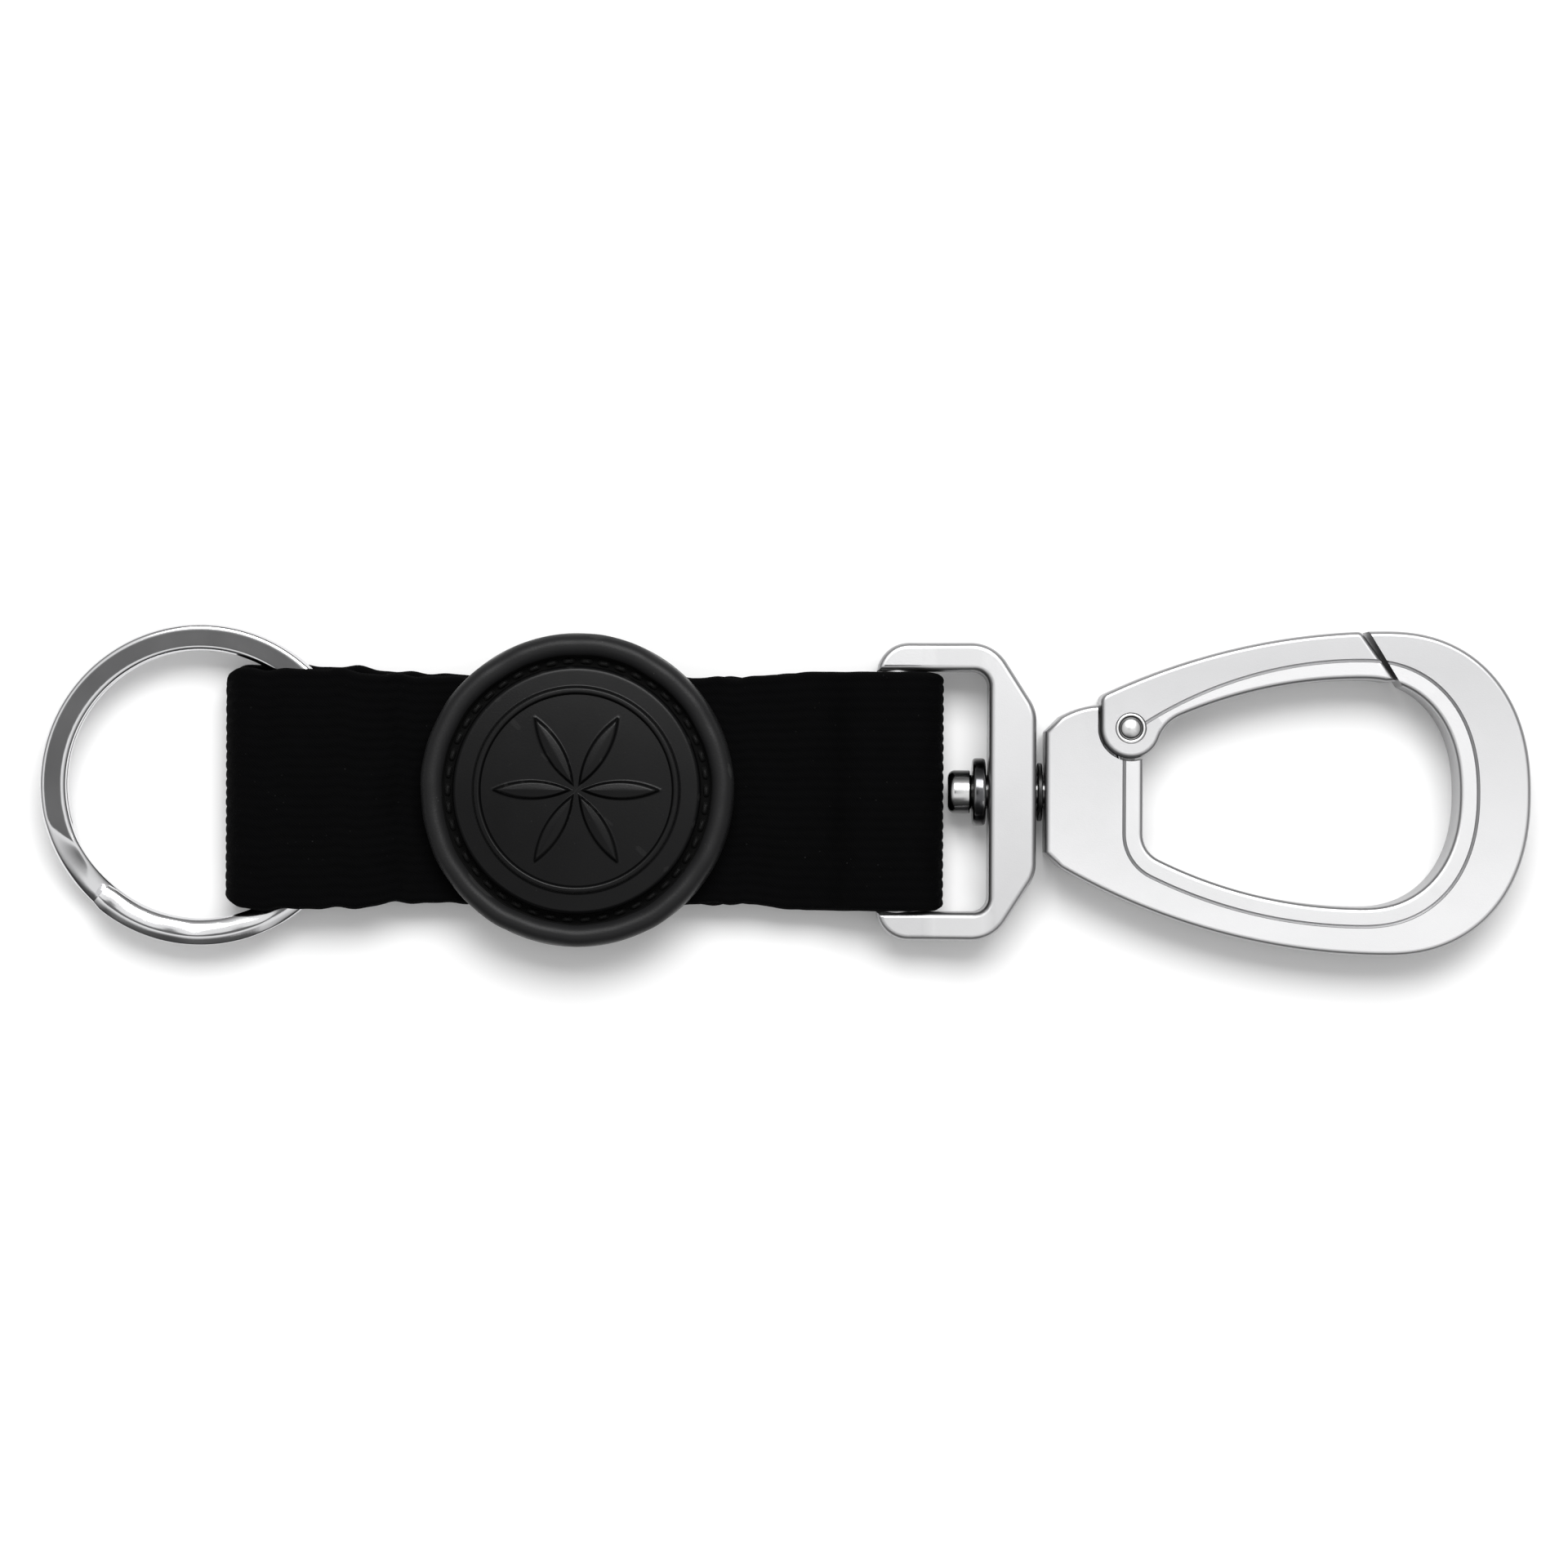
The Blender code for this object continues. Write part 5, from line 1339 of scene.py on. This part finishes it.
def bow(widest_x, end_x, half_width, steps=110):
    """The rounded end, from the upper side to the lower, as a superellipse."""
    points = []
    for i in range(steps + 1):
        turn = math.pi / 2 - math.pi * i / steps
        across = math.copysign(abs(math.sin(turn)) ** (2 / BOW_POWER), math.sin(turn))
        along = abs(math.cos(turn)) ** (2 / BOW_POWER)
        points.append(Vector((widest_x + (end_x - widest_x) * along, half_width * across)))
    return points


def outer_outline():
    """The hook's outer edge, clockwise from the hub's upper corner."""
    run = PIVOT_X - KNUCKLE_RADIUS - RUNNING_GAP - HUB_SHOULDER_X
    shoulder = [
        flank_point(HUB_SHOULDER_X + run * i / 12) - Vector((0, SHOULDER_DIP * (i / 12) ** 2))
        for i in range(13)
    ]
    corner = Vector((0, HUB_FACE_HALF))
    flank = [flank_point(HUB_SHOULDER_X + FLANK_RUN * i / FLANK_STEPS) for i in range(FLANK_STEPS)]
    upper = [corner] + shoulder + [p for p in flank if p.x > PIVOT_X]
    end = bow(HOOK_WIDEST_X, HOOK_LENGTH, HOOK_HALF_WIDTH)
    return upper + end + mirrored([corner] + flank)


def opening_centres():
    """Centres of the opening's upper flank and of its upper corner by the hub."""
    flank = Vector((OPENING_WIDEST_X, OPENING_HALF - OPENING_FLANK_RADIUS))
    corner_x = HUB_DEPTH + OPENING_CORNER
    reach = OPENING_FLANK_RADIUS - OPENING_CORNER
    return flank, Vector((corner_x, flank.y + math.sqrt(reach**2 - (flank.x - corner_x) ** 2)))


def opening_upper(grow=0.0):
    """Upper side of the opening, from the hub's straight edge to the widest place."""
    flank, corner = opening_centres()
    lean = heading(corner - flank)
    points = arc(corner, OPENING_CORNER + grow, 180, lean, 10)
    return points[:-1] + arc(flank, OPENING_FLANK_RADIUS + grow, lean, 90, FLANK_STEPS)


def opening_outline():
    """The edge of the space that takes a belt loop or a bag's ring."""
    upper = opening_upper()
    return upper[:-1] + bow(OPENING_WIDEST_X, OPENING_END_X, OPENING_HALF) + mirrored(upper[:-1])


def nose_line(gap_in, gap_out):
    """The slanted end of the gate or of the nose, from beyond the outer edge to the inside."""
    slant = at_heading((0, 0), 1, NOSE_DEG)
    start = flank_point(NOSE_X)
    top = start + slant * LIMB_WIDTH / 2 - Vector((gap_out, 0))
    return top, start - slant * LIMB_WIDTH * 1.5 - Vector((gap_in, 0))


print(f"the gate's pivot is at {PIVOT_X / MM:.2f}, {PIVOT_Y / MM:.2f} mm in the hook's frame")

# %% [markdown]
# The border is engraved: a fine groove two millimetres from the opening. It is cut with a
# bar of rounded section that is carried along the line on both faces.

# %% The engraved border
BORDER_OFFSET = 2 * MM
RIVET_HEAD = 1.6 * MM
BORDER_RISE = 0.55 * MM
GROOVE_SECTION = [
    (0.26, 0.3), (0.19, 0), (0.13, -0.13), (0, -0.2), (-0.13, -0.13), (-0.19, 0), (-0.26, 0.3)
]


def border_paths():
    """Middle lines of the groove: round the hook's body, and from the rivet along the gate."""
    end = bow(OPENING_WIDEST_X, OPENING_END_X + BORDER_OFFSET, OPENING_HALF + BORDER_OFFSET)
    lower = mirrored(opening_upper(BORDER_OFFSET))
    hub_top = Vector((HUB_DEPTH - BORDER_OFFSET, PIVOT_Y))
    start = PIVOT + Vector((math.sqrt(RIVET_HEAD**2 - BORDER_RISE**2), BORDER_RISE))
    run, rise = end[0] - start
    radius = (run**2 + rise**2) / (2 * rise)
    centre = end[0] - Vector((0, radius))
    gate_line = arc(centre, radius, heading(start - centre), 90, FLANK_STEPS)
    return end[:-1] + lower + [hub_top], gate_line + end[1:8]


def course(line, i):
    """Direction of a line of points where it passes point i."""
    return (line[min(i + 1, len(line) - 1)] - line[max(i - 1, 0)]).normalized()


def groove_tool(name, path):
    """Cutters of rounded section along a path, one for each face of the hook."""
    cutters = []
    for side in (1, -1):
        rings = []
        for i, point in enumerate(path):
            along = course(path, i)
            rings.append([
                (point.x - along.y * a * MM, point.y + along.x * a * MM,
                 side * (HOOK_THICKNESS / 2 + b * MM))
                for a, b in GROOVE_SECTION
            ])
        cutters.append(rings)
    return joined_skins(name, cutters)


def mark_border(mesh, groove_path, strip_from_x):
    """Marks the strip between groove and opening for its own greys, and the inside of the groove
    for painted shade.
    """
    edge = opening_outline()
    centres = face_centres(mesh)
    places = centres[:, :2] - (HOOK_X, 0)
    depth = HOOK_THICKNESS / 2 - np.abs(centres[:, 2] - MIDDLE_Z)
    in_groove = (depth > 0.01 * MM) & (depth < 0.25 * MM)
    in_groove &= distance_to(groove_path, places) < 0.2 * MM
    on_strip = (depth < HOOK_EDGE) & (places[:, 0] > strip_from_x)
    on_strip &= distance_to(edge + edge[:1], places) < BORDER_OFFSET
    # The groove's inside is painted dark, as painted shade.
    mark_faces(mesh, "painted_shade_faces", in_groove)
    mark_faces(mesh, "border_strip_and_painted_light", on_strip)


body_path, gate_path = border_paths()
print("border:", len(body_path), "points on the body,", len(gate_path), "on the gate")

# %% [markdown]
# ### The hook's body
#
# One casting with its hub, its nose and a tongue that the gate turns on. The gate's space,
# the post's cavity, the rivet's hole and a pocket for the spring's foot are cut out of it.

# %% Tools for the hook's body
GATE_CHEEK, GATE_SPINE = 1.2 * MM, 1.5 * MM
GATE_SLOT_HALF = HOOK_THICKNESS / 2 - GATE_CHEEK
KNUCKLE_FILLET = 4 * MM
LUG_THICKNESS, LUG_RADIUS, LUG_ROOT = 1.5 * MM, 2.6 * MM, 1.4 * MM
LUG_BOTTOM = RUNNING_GAP - GATE_SLOT_HALF
OPEN_DEG, BEAK_DEG = 32, 36
SPRING_WIRE = 0.2 * MM
SEAT_GAP = 0.25 * MM
SPRING_BOTTOM = LUG_BOTTOM + LUG_THICKNESS + SEAT_GAP + SPRING_WIRE
SPRING_FOOT_DEPTH, SPRING_FOOT_DEG, POCKET_LENGTH = 1.3 * MM, -100, 3.2 * MM
POST_BORE, POST_FOOT_BORE = 2.05 * MM, 2.55 * MM
POST_FOOT_SPACE = (5.15 * MM, 6.95 * MM)
RIVET_BORE, RIVET_AXIS = 1.4 * MM, (PIVOT_X, PIVOT_Y, 0)


def gate_space():
    """Everything that the gate fills or swings through, with its clearance."""
    clear = KNUCKLE_RADIUS + RUNNING_GAP
    above = HOOK_HALF_WIDTH + LIMB_WIDTH
    top, bottom = nose_line(0, 0)
    below = Vector((PIVOT_X + KNUCKLE_RADIUS + KNUCKLE_FILLET, PIVOT_Y - KNUCKLE_RADIUS))
    outline = arc(PIVOT, clear, 180, 318, 40)
    outline += [below, Vector((bottom.x, below.y)), bottom, top]
    outline += [Vector((top.x, above)), Vector((PIVOT_X - clear, above))]
    return plate("gate_space", outline, 2 * HOOK_THICKNESS)


def lug():
    """The tongue between the gate's cheeks. Its beak stops the gate when it is fully open."""
    spine = FLANK_RADIUS - GATE_SPINE - (PIVOT - FLANK_CENTRE).length
    beak_radius = (spine - RUNNING_GAP) / math.cos(math.radians(BEAK_DEG))
    beak_deg = heading(PIVOT - FLANK_CENTRE) - OPEN_DEG - BEAK_DEG
    easing = math.degrees(math.acos(LUG_RADIUS / beak_radius))
    outline = arc(PIVOT, LUG_RADIUS, -75, beak_deg - easing, 16)
    outline += [at_heading(PIVOT, beak_radius, beak_deg)]
    outline += arc(PIVOT, LUG_RADIUS, beak_deg + easing, 180, 20)
    root_y = PIVOT_Y - KNUCKLE_RADIUS - LUG_ROOT
    outline += [Vector((outline[-1].x, root_y)), Vector((outline[0].x, root_y))]
    return plate("lug", outline, LUG_THICKNESS, middle_z=LUG_BOTTOM + LUG_THICKNESS / 2)


def spring_foot():
    """Where the spring's short leg ends, in its pocket in the hub."""
    return at_heading(PIVOT, KNUCKLE_RADIUS + SPRING_FOOT_DEPTH, SPRING_FOOT_DEG)


def spring_pocket():
    """The narrow pocket that the spring's foot stands in, open towards the lug."""
    foot = spring_foot()
    room = SPRING_WIRE + SEAT_GAP
    corners = [(-room, -room), (room, -room), (room, POCKET_LENGTH), (-room, POCKET_LENGTH)]
    outline = [foot + Vector(c) for c in corners]
    return plate("spring_pocket", outline, 2 * room, middle_z=SPRING_BOTTOM)


def post_cavity():
    """The post's bore, with the wider space that holds its foot."""
    start, end = POST_FOOT_SPACE
    profile = [(-MM, 0), (-MM, POST_BORE), (start, POST_BORE), (start, POST_FOOT_BORE)]
    return spun("cavity", profile + [(end, POST_FOOT_BORE), (end, 0)], "X", 48)


# %% Cast the hook's body
body_cuts = [
    ("DIFFERENCE", gate_space()),
    ("UNION", lug()),
    ("DIFFERENCE", post_cavity()),
    ("DIFFERENCE", rod("bore", -HOOK_THICKNESS, HOOK_THICKNESS, RIVET_BORE, centre=RIVET_AXIS)),
    ("DIFFERENCE", spring_pocket()),
    ("DIFFERENCE", groove_tool("body_groove", body_path)),
]
body_blank = plate("hook_blank", outer_outline(), HOOK_THICKNESS, opening_outline(), edge=HOOK_EDGE)
body_mesh = carve(body_blank, body_cuts, HOOK_PLACE)
mark_border(body_mesh, body_path, 0)
hook_body = add_piece(
    "hook_body_cast", body_mesh, "hook", HOOK_CAST, ["hook_body"], 30
)
weigh_normals(hook_body)

# %% [markdown]
# ### The gate
#
# The gate is hollow at its heel: two cheeks and a spine round the tongue and the spring. Its
# inner edge runs into the knuckle through a round fillet.

# %% The gate's outline and tools
NOSE_GAP_IN, NOSE_GAP_OUT = 0.16 * MM, 1.0 * MM
GATE_SLOT_END_X = PIVOT_X + 9 * MM
SEAT_DEPTH, SEAT_RADIUS = 0.6 * MM, 1.66 * MM


def tip_x_at(point, direction, y):
    """X of a slanted line where it crosses the given Y."""
    return point.x + direction.x * (y - point.y) / direction.y


def fillet_centre():
    """Centre of the fillet between the gate's knuckle and its inner edge."""
    flank, _ = opening_centres()
    near, far = KNUCKLE_RADIUS + KNUCKLE_FILLET, OPENING_FLANK_RADIUS - KNUCKLE_FILLET
    apart = (flank - PIVOT).length
    along = (near**2 - far**2 + apart**2) / (2 * apart)
    aside = math.sqrt(near**2 - along**2)
    direction = (flank - PIVOT).normalized()
    return PIVOT + direction * along + Vector((-direction.y, direction.x)) * aside


def round_corner(before, corner, after, radius):
    """A soft corner between two nearly straight runs."""
    back, ahead = (before - corner).normalized(), (after - corner).normalized()
    return corner_curve(corner + back * radius, corner, corner + ahead * radius, 8)


def gate_outline():
    """The gate's edge, clockwise from the top of its heel."""
    heel_x = PIVOT_X - KNUCKLE_RADIUS
    tip_top, tip_bottom = nose_line(NOSE_GAP_IN, NOSE_GAP_OUT)
    slant = tip_bottom - tip_top
    span = tip_x_at(tip_top, slant, HOOK_HALF_WIDTH) - heel_x
    outer = [flank_point(heel_x + span * i / FLANK_STEPS) for i in range(FLANK_STEPS + 1)]
    end = bow(OPENING_WIDEST_X, OPENING_END_X, OPENING_HALF)
    inner_x = tip_x_at(tip_top, slant, end[6].y)
    inner_tip = Vector((inner_x, end[6].y))
    heel = round_corner(Vector((heel_x, PIVOT_Y)), outer[0], outer[1], 0.7 * MM)
    tip = round_corner(outer[-2], outer[-1], inner_tip, 0.5 * MM)
    outline = heel + outer[2:-2] + tip + [inner_tip]
    outline += [p for p in reversed(end[:8]) if p.x < inner_x - 2 * HOOK_EDGE]
    flank, _ = opening_centres()
    fillet = fillet_centre()
    lean = heading(fillet - flank)
    outline += arc(flank, OPENING_FLANK_RADIUS, 90, lean, FLANK_STEPS)[1:]
    knuckle_deg = heading(fillet - PIVOT)
    outline += arc(fillet, KNUCKLE_FILLET, lean, knuckle_deg + 180, 14)[1:]
    outline += arc(PIVOT, KNUCKLE_RADIUS, knuckle_deg, -180, 30)[1:]
    return outline


def gate_slot():
    """The space between the cheeks, open at the heel and at the inner edge."""
    radius = FLANK_RADIUS - GATE_SPINE
    left_x, right_x = PIVOT_X - 2 * KNUCKLE_RADIUS, GATE_SLOT_END_X
    start, end = (math.degrees(math.acos((x - HOOK_WIDEST_X) / radius)) for x in (left_x, right_x))
    floor_y = PIVOT_Y - 2 * KNUCKLE_RADIUS
    outline = arc(FLANK_CENTRE, radius, start, end, 20)
    outline += [Vector((right_x, floor_y)), Vector((left_x, floor_y))]
    return plate("gate_slot", outline, 2 * GATE_SLOT_HALF)


def rivet_hole():
    """The hole through both cheeks, sunk at each face for the rivet's heads."""
    seat, out = HOOK_THICKNESS / 2 - SEAT_DEPTH, HOOK_THICKNESS
    profile = [(-out, 0), (-out, SEAT_RADIUS), (-seat, SEAT_RADIUS), (-seat, RIVET_BORE)]
    profile += [(-z, r) for z, r in reversed(profile)]
    return spun("rivet_hole", profile, "Z", 48, RIVET_AXIS)


# %% Cast the gate
gate_cuts = [
    ("DIFFERENCE", gate_slot()),
    ("DIFFERENCE", rivet_hole()),
    ("DIFFERENCE", groove_tool("gate_groove", gate_path)),
]
gate_blank = plate("gate_blank", gate_outline(), HOOK_THICKNESS, edge=HOOK_EDGE)
gate_mesh = carve(gate_blank, gate_cuts, HOOK_PLACE)
mark_border(gate_mesh, gate_path, PIVOT_X + 3 * MM)
gate = add_piece(
    "hook_gate_cast", gate_mesh, "gate", HOOK_CAST, ["hook_gate"], 30
)
weigh_normals(gate)

# %% [markdown]
# ## Post, washers, rivet and spring
#
# Small steel parts, turned on a lathe, so each one is a spun profile with eased corners. The
# spring is a round wire along a helix with two straight legs. The post's stem is painted dark,
# as painted shade where it shows between the frame and the hub, with the same mark as the
# other painted shade.

# %% Post and washers
POST_RADIUS, POST_HEAD_RADIUS = 1.8 * MM, 2.3 * MM
POST_HEAD_LENGTH, POST_FOOT_LENGTH = 2.35 * MM, 1.3 * MM
HEAD_ROUND = 0.8 * MM
WASHER_BORE = 2.05 * MM
post_low, post_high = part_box("swivel_post")
post_end = post_high.x - post_low.x
foot_x = post_end - POST_FOOT_LENGTH
head_arc = arc((HEAD_ROUND, POST_HEAD_RADIUS - HEAD_ROUND), HEAD_ROUND, 180, 90, 10)
stem = [
    (2 * HEAD_ROUND, POST_HEAD_RADIUS), (POST_HEAD_LENGTH, POST_HEAD_RADIUS),
    (POST_HEAD_LENGTH, POST_RADIUS), (foot_x, POST_RADIUS),
    (foot_x, POST_HEAD_RADIUS), (post_end, POST_HEAD_RADIUS), (post_end, 0),
]
post_profile = [(0, 0)] + [tuple(p) for p in head_arc] + eased(stem, 0.15 * MM)
post_mesh = spun("swivel_post_turned", post_profile, "X", 72, (post_low.x, 0, MIDDLE_Z))
# The stem is painted dark, as painted shade where it shows between the frame and the hub.
on_stem = face_centres(post_mesh)[:, 0] > post_low.x + 2.3 * MM
mark_faces(post_mesh, "painted_shade_faces", on_stem)
add_piece(
    "swivel_post_turned", post_mesh, "hook", PIN_STEEL, ["swivel_post"], 40
)


def washer(node, ease, steel):
    """A flat washer with rounded corners, in the place of its solid."""
    low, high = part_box(node)
    thickness, radius = high.x - low.x, (high.z - low.z) / 2
    inner = (thickness / 2, WASHER_BORE)
    corners = [inner, (0, WASHER_BORE), (0, radius), (thickness, radius)]
    profile = eased(corners + [(thickness, WASHER_BORE), inner], ease, 4)[:-1]
    mesh = spun(node + "_turned", profile, "X", 72, (low.x, 0, MIDDLE_Z))
    return add_piece(node + "_turned", mesh, "hook", steel, [node], 40)


washer("head_washer", 0.4 * MM, WASHER_STEEL)
washer("thrust_washer", 0.15 * MM, THRUST_STEEL)

# %% [markdown]
# The rivet is peened: the punch has left a small dome with a groove round it, and the metal
# outside the groove is spread flat into its seat. The groove is painted dark, as painted shade.

# %% The gate's rivet
RIVET_RADIUS = 1.1 * MM
DOME_HALF, DOME_DROP = 0.98 * MM, 0.24 * MM
PEEN_PROFILE = [
    (0.3, 1.05), (0.32, 1.12), (0.3, 1.2), (0.2, 1.3), (0.16, 1.36), (0.17, 1.5), (0.22, 1.58)
]
rivet_low, rivet_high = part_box("gate_rivet")
DOME_TOP = (rivet_high.z - rivet_low.z) / 2
HEAD_FOOT_Z = DOME_TOP - 0.35 * MM
upper = [(DOME_TOP - DOME_DROP * (r / 8) ** 2, DOME_HALF * r / 8) for r in range(9)]
upper += [(DOME_TOP - drop * MM, r * MM) for drop, r in PEEN_PROFILE]
upper += [(HEAD_FOOT_Z, RIVET_HEAD), (HEAD_FOOT_Z, RIVET_RADIUS)]
rivet_profile = upper + [(-z, r) for z, r in reversed(upper)]
rivet_place = ((rivet_low.x + rivet_high.x) / 2, (rivet_low.y + rivet_high.y) / 2, MIDDLE_Z)
rivet_mesh = spun("gate_rivet_peened", rivet_profile, "Z", 64, rivet_place)
rivet_centres = face_centres(rivet_mesh) - rivet_place
from_middle = np.hypot(rivet_centres[:, 0], rivet_centres[:, 1])
# The rivet's groove is painted dark, as painted shade.
mark_faces(rivet_mesh, "painted_shade_faces", (from_middle > DOME_HALF) & (from_middle < 1.32 * MM))
add_piece("gate_rivet_peened", rivet_mesh, "hook", RIVET_STEEL, ["gate_rivet"], 40)


# %% The gate's spring
SPRING_LEG_DEG, SPRING_LEG_LENGTH = 29, 6.3 * MM
COIL_RADIUS = RIVET_RADIUS + RUNNING_GAP + SPRING_WIRE
COIL_RISE = 0.85 * MM
LEG_WAY = at_heading((0, 0), 1, SPRING_LEG_DEG).to_3d()


def spring_line():
    """The wire's middle, from the foot in the hub, round the rivet, to the leg in the gate."""
    foot = spring_foot() - PIVOT
    foot_deg = heading(foot) - math.degrees(math.acos(COIL_RADIUS / foot.length))
    sweep = foot_deg + 360 - (SPRING_LEG_DEG + 90) + 360 * 2
    points = [Vector((foot.x, foot.y, SPRING_BOTTOM))]
    for i in range(97):
        x, y = at_heading((0, 0), COIL_RADIUS, foot_deg + 360 - sweep * i / 96)
        points.append(Vector((x, y, SPRING_BOTTOM + COIL_RISE * sweep / 360 * i / 96)))
    return points + [points[-1] + SPRING_LEG_LENGTH * LEG_WAY * i / 18 for i in range(1, 19)]


def round_wire(name, points, radius, centre, sides=12):
    """A round wire along a line of points."""
    rings = []
    for i, point in enumerate(points):
        along = course(points, i)
        side = along.cross(Vector((0, 0, 1))).normalized()
        rise = side.cross(along)
        middle = point + Vector(centre)
        rings.append([
            tuple(middle + side * radius * math.cos(a) + rise * radius * math.sin(a))
            for a in np.linspace(0, 2 * math.pi, sides + 1)[:-1]
        ])
    return skin(name, rings, caps=True)


spring_centre = Vector((HOOK_X + PIVOT_X, PIVOT_Y, MIDDLE_Z))
spring_mesh = round_wire("gate_spring_wound", spring_line(), SPRING_WIRE, spring_centre)
spring = add_piece(
    "gate_spring_wound", spring_mesh, None, PIN_STEEL, ["gate_spring"], 50
)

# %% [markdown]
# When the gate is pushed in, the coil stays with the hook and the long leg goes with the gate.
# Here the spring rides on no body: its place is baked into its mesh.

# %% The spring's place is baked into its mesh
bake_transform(spring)

# %% [markdown]
# ## The ground, the sky and the lamp
#
# The picture has a white ground with one soft shadow that falls towards the viewer's side.
# The ground is a matt white sheet whose camera-visible part is topped up with a little
# emission, so that it reads as white while it keeps the shadow.

# %% White ground
def ground_finish():
    material = bpy.data.materials.new("white_paper")
    material.use_nodes = True
    tree = material.node_tree
    tree.nodes.clear()
    output = add_node(tree, "ShaderNodeOutputMaterial")
    paper = add_node(tree, "ShaderNodeBsdfDiffuse", {"Color": (0.86, 0.86, 0.86, 1)})
    top_up = add_node(tree, "ShaderNodeEmission", {"Color": (1, 1, 1, 1), "Strength": 0.08})
    both = add_node(tree, "ShaderNodeAddShader", {0: paper.outputs[0], 1: top_up.outputs[0]})
    path = add_node(tree, "ShaderNodeLightPath")
    seen = math_node(tree, "MAXIMUM", path.outputs["Is Camera Ray"], path.outputs["Is Glossy Ray"])
    seen = math_node(tree, "MAXIMUM", seen, path.outputs["Is Transmission Ray"])
    pick = add_node(
        tree, "ShaderNodeMixShader", {0: seen, 1: paper.outputs[0], 2: both.outputs[0]}
    )
    tree.links.new(pick.outputs[0], output.inputs["Surface"])
    return material


GROUND_HALF = 4.0
corners = [(-1, -1), (1, -1), (1, 1), (-1, 1)]
ground_mesh = bpy.data.meshes.new("ground")
ground_mesh.from_pydata(
    [(x * GROUND_HALF, y * GROUND_HALF, 0) for x, y in corners], [], [(0, 1, 2, 3)]
)
ground_mesh.materials.append(ground_finish())
ground = bpy.data.objects.new("ground", ground_mesh)
ground.location.z = -0.03 * MM
scene.collection.objects.link(ground)
print("the ground lies", round(-ground.location.z / MM, 2), "mm under the cord")

# %% [markdown]
# The sky lights the metal as much as the lamp does, because metal shows what is around it. A
# gradient by direction does the work of a studio: a bright ceiling, darker walls, and a darker
# side opposite the lamp, which draws a grey line along the lower rims. Towards the hook's end
# that dark side starts lower down, so the hook's own lower rims stay bright. A small dark card
# hangs over the ring's end of the cord. It makes the ring's level faces grey while its bevels
# stay bright. Just above the horizon, metal sees the same white as the camera does.

# %% Sky
CARD_X, CARD_HALF_X = -0.15, 0.12
CARD_Y, CARD_HALF_Y = -0.03, 0.14
CEILING = [(0.0, 0.16), (0.3, 0.22), (0.55, 0.4), (0.75, 0.68), (0.88, 0.96), (1.0, 1.0)]


def make_sky():
    world = bpy.data.worlds.new("studio_sky")
    scene.world = world
    world.use_nodes = True
    tree = world.node_tree
    tree.nodes.clear()
    output = add_node(tree, "ShaderNodeOutputWorld")
    direction = add_node(tree, "ShaderNodeTexCoord")
    parts = add_node(tree, "ShaderNodeSeparateXYZ", {0: direction.outputs["Generated"]})
    x, y, z = (parts.outputs[axis] for axis in "XYZ")
    ceiling = add_node(tree, "ShaderNodeValToRGB", {0: z})
    stops = ceiling.color_ramp.elements
    for position, value in CEILING[1:-1]:
        stops.new(position)
    for stop, (position, value) in zip(stops, CEILING):
        stop.position = position
        stop.color = (value, value, value, 1)
    far_side = ramp(tree, y, -0.66, -0.42, low=0.2)
    window = math_node(tree, "MULTIPLY", ramp(tree, x, 0.0, 0.12), ramp(tree, y, -0.8, -0.68))
    far_side = math_node(tree, "MAXIMUM", far_side, window)
    from_card = []
    for way, middle, half in ((x, CARD_X, CARD_HALF_X), (y, CARD_Y, CARD_HALF_Y)):
        away = math_node(tree, "ABSOLUTE", math_node(tree, "SUBTRACT", way, middle))
        from_card.append(math_node(tree, "DIVIDE", away, half))
    card = ramp(tree, math_node(tree, "MAXIMUM", *from_card), 0.8, 1.15, low=0.15)
    shade = math_node(tree, "MULTIPLY", far_side, card)
    shade = math_node(tree, "MULTIPLY", shade, ceiling.outputs["Color"])
    sky = add_node(tree, "ShaderNodeBackground", {"Color": shade, "Strength": 1.0})
    white = add_node(tree, "ShaderNodeBackground", {"Color": (1, 1, 1, 1), "Strength": 1.0})
    path = add_node(tree, "ShaderNodeLightPath")
    mirrored_ray = math_node(
        tree, "MAXIMUM", path.outputs["Is Glossy Ray"], path.outputs["Is Transmission Ray"]
    )
    mirrored_low = math_node(tree, "MULTIPLY", mirrored_ray, ramp(tree, z, 0.1, 0.02))
    seen = math_node(tree, "MAXIMUM", path.outputs["Is Camera Ray"], mirrored_low)
    pick = add_node(
        tree, "ShaderNodeMixShader", {0: seen, 1: sky.outputs[0], 2: white.outputs[0]}
    )
    tree.links.new(pick.outputs[0], output.inputs["Surface"])


make_sky()
print("the sky is", scene.world.name)

# %% Soft key lamp
KEY_X, KEY_DISTANCE, KEY_ELEVATION = 0.06, 0.9, math.radians(61)
key_data = bpy.data.lights.new("soft_key", "AREA")
key_data.shape = "RECTANGLE"
key_data.size, key_data.size_y = 0.6, 0.42
key_data.energy = 7.2
key = bpy.data.objects.new("soft_key", key_data)
key.location = (
    KEY_X, KEY_DISTANCE * math.cos(KEY_ELEVATION), KEY_DISTANCE * math.sin(KEY_ELEVATION)
)
key.rotation_euler = (-key.location).to_track_quat("-Z", "Y").to_euler()
scene.collection.objects.link(key)
print(f"the lamp gives {key_data.energy} W from {key.location.length:.2f} m")
